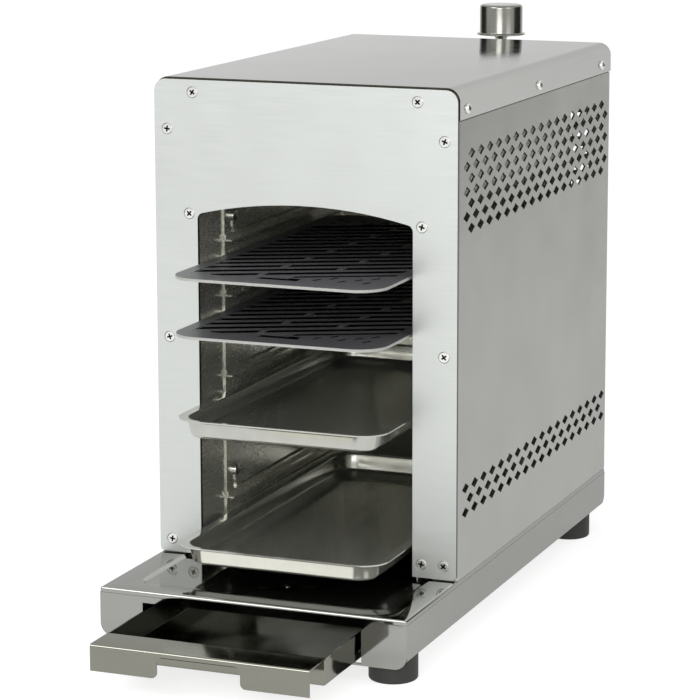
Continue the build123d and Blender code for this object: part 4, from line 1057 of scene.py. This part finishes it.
def lamp(name, place, target, energy, size):
    """Area lamp that looks at a point."""
    light = bpy.data.lights.new(name, "AREA")
    light.energy = energy
    light.shape = "RECTANGLE"
    light.size, light.size_y = size
    thing = bpy.data.objects.new(name, light)
    aim(thing, place, target, "-Z")


def card(name, place, target, size):
    """Matt card that only reflections show: it gives polished steel its dark tones."""
    mesh = rectangle(name, *size)
    thing = bpy.data.objects.new(name, mesh)
    material, tree = blank(name)
    matt = add(tree, "ShaderNodeBsdfDiffuse", {"Color": linear(CARD_GREY)})
    add(tree, "ShaderNodeOutputMaterial", None, {"Surface": matt.outputs[0]})
    mesh.materials.append(material)
    thing.visible_camera = thing.visible_shadow = thing.visible_diffuse = False
    aim(thing, place, target, "Z")


def background_rays(tree):
    """1 for the rays that show the white background: camera, glossy and transmission rays."""
    path = add(tree, "ShaderNodeLightPath")
    total = path.outputs["Is Camera Ray"]
    for other in ("Is Glossy Ray", "Is Transmission Ray"):
        total = add(tree, "ShaderNodeMath", {"operation": "MAXIMUM"},
                    {0: total, 1: path.outputs[other]}).outputs[0]
    return total


class GRILL_OT_stage(bpy.types.Operator):
    """White floor and surroundings, soft lamps and the camera"""
    bl_idname = "grill.stage"
    bl_label = "Stage"

    def execute(self, context):
        scene = context.scene
        mesh = rectangle("floor", FLOOR_SIZE, FLOOR_SIZE)
        floor = bpy.data.objects.new("floor", mesh)
        scene.collection.objects.link(floor)
        material, tree = blank("white floor")
        matt = add(tree, "ShaderNodeBsdfDiffuse", {"Color": (FLOOR_MATT, FLOOR_MATT, FLOOR_MATT, 1)})
        glow = add(tree, "ShaderNodeEmission", {"Color": WHITE, "Strength": FLOOR_GLOW})
        both = add(tree, "ShaderNodeAddShader", None, {0: matt.outputs[0], 1: glow.outputs[0]})
        mixed = add(tree, "ShaderNodeMixShader", None,
                    {0: background_rays(tree), 1: matt.outputs[0], 2: both.outputs[0]})
        add(tree, "ShaderNodeOutputMaterial", None, {"Surface": mixed.outputs[0]})
        mesh.materials.append(material)

        world = bpy.data.worlds.new("studio")
        scene.world = world
        world.use_nodes = True
        tree = world.node_tree
        tree.nodes.clear()
        strength = add(tree, "ShaderNodeMapRange", {"To Min": WORLD_LIGHT, "To Max": WORLD_SHOWN},
                       {"Value": background_rays(tree)})
        ground = add(tree, "ShaderNodeBackground", {"Color": WHITE}, {"Strength": strength.outputs[0]})
        add(tree, "ShaderNodeOutputWorld", None, {"Surface": ground.outputs[0]})

        for row in LAMPS:
            lamp(*row)
        for row in CARDS:
            card(*row)

        lens = bpy.data.cameras.new("camera")
        lens.sensor_width, lens.lens = SENSOR, FOCAL * SENSOR
        lens.shift_x, lens.shift_y = SHIFT
        lens.clip_end = 50
        camera = bpy.data.objects.new("camera", lens)
        camera.location = CAMERA_PLACE
        camera.rotation_euler = (math.pi / 2 - math.radians(CAMERA_PITCH), 0.0, math.radians(CAMERA_YAW))
        scene.collection.objects.link(camera)
        scene.camera = camera
        scene.view_settings.view_transform = "Standard"
        return {"FINISHED"}


class GRILL_PT_panel(bpy.types.Panel):
    """Lists the grill's operators"""
    bl_idname = "GRILL_PT_panel"
    bl_label = "Gas steak grill"
    bl_space_type = "VIEW_3D"
    bl_region_type = "UI"
    bl_category = "Grill"

    def draw(self, context):
        for operator in OPERATORS:
            self.layout.operator(operator.bl_idname)


OPERATORS = (GRILL_OT_case, GRILL_OT_base, GRILL_OT_drawer, GRILL_OT_trays, GRILL_OT_grates,
             GRILL_OT_knob, GRILL_OT_screws, GRILL_OT_stage)
CLASSES = (GrillSizes, GrillFinish) + OPERATORS + (GRILL_PT_panel,)


def register():
    """Registers the classes and hangs the settings on the scene."""
    for item in CLASSES:
        bpy.utils.register_class(item)
    bpy.types.Scene.grill_sizes = bpy.props.PointerProperty(type=GrillSizes)
    bpy.types.Scene.grill_finish = bpy.props.PointerProperty(type=GrillFinish)


def unregister():
    """Takes the settings and classes away again."""
    del bpy.types.Scene.grill_finish
    del bpy.types.Scene.grill_sizes
    for item in reversed(CLASSES):
        bpy.utils.unregister_class(item)


def main():
    register()
    for operator in OPERATORS:
        name = operator.bl_idname.split(".")[1]
        if getattr(bpy.ops.grill, name)() != {"FINISHED"}:
            raise RuntimeError(name + " did not finish")


if __name__ == "__main__":
    main()
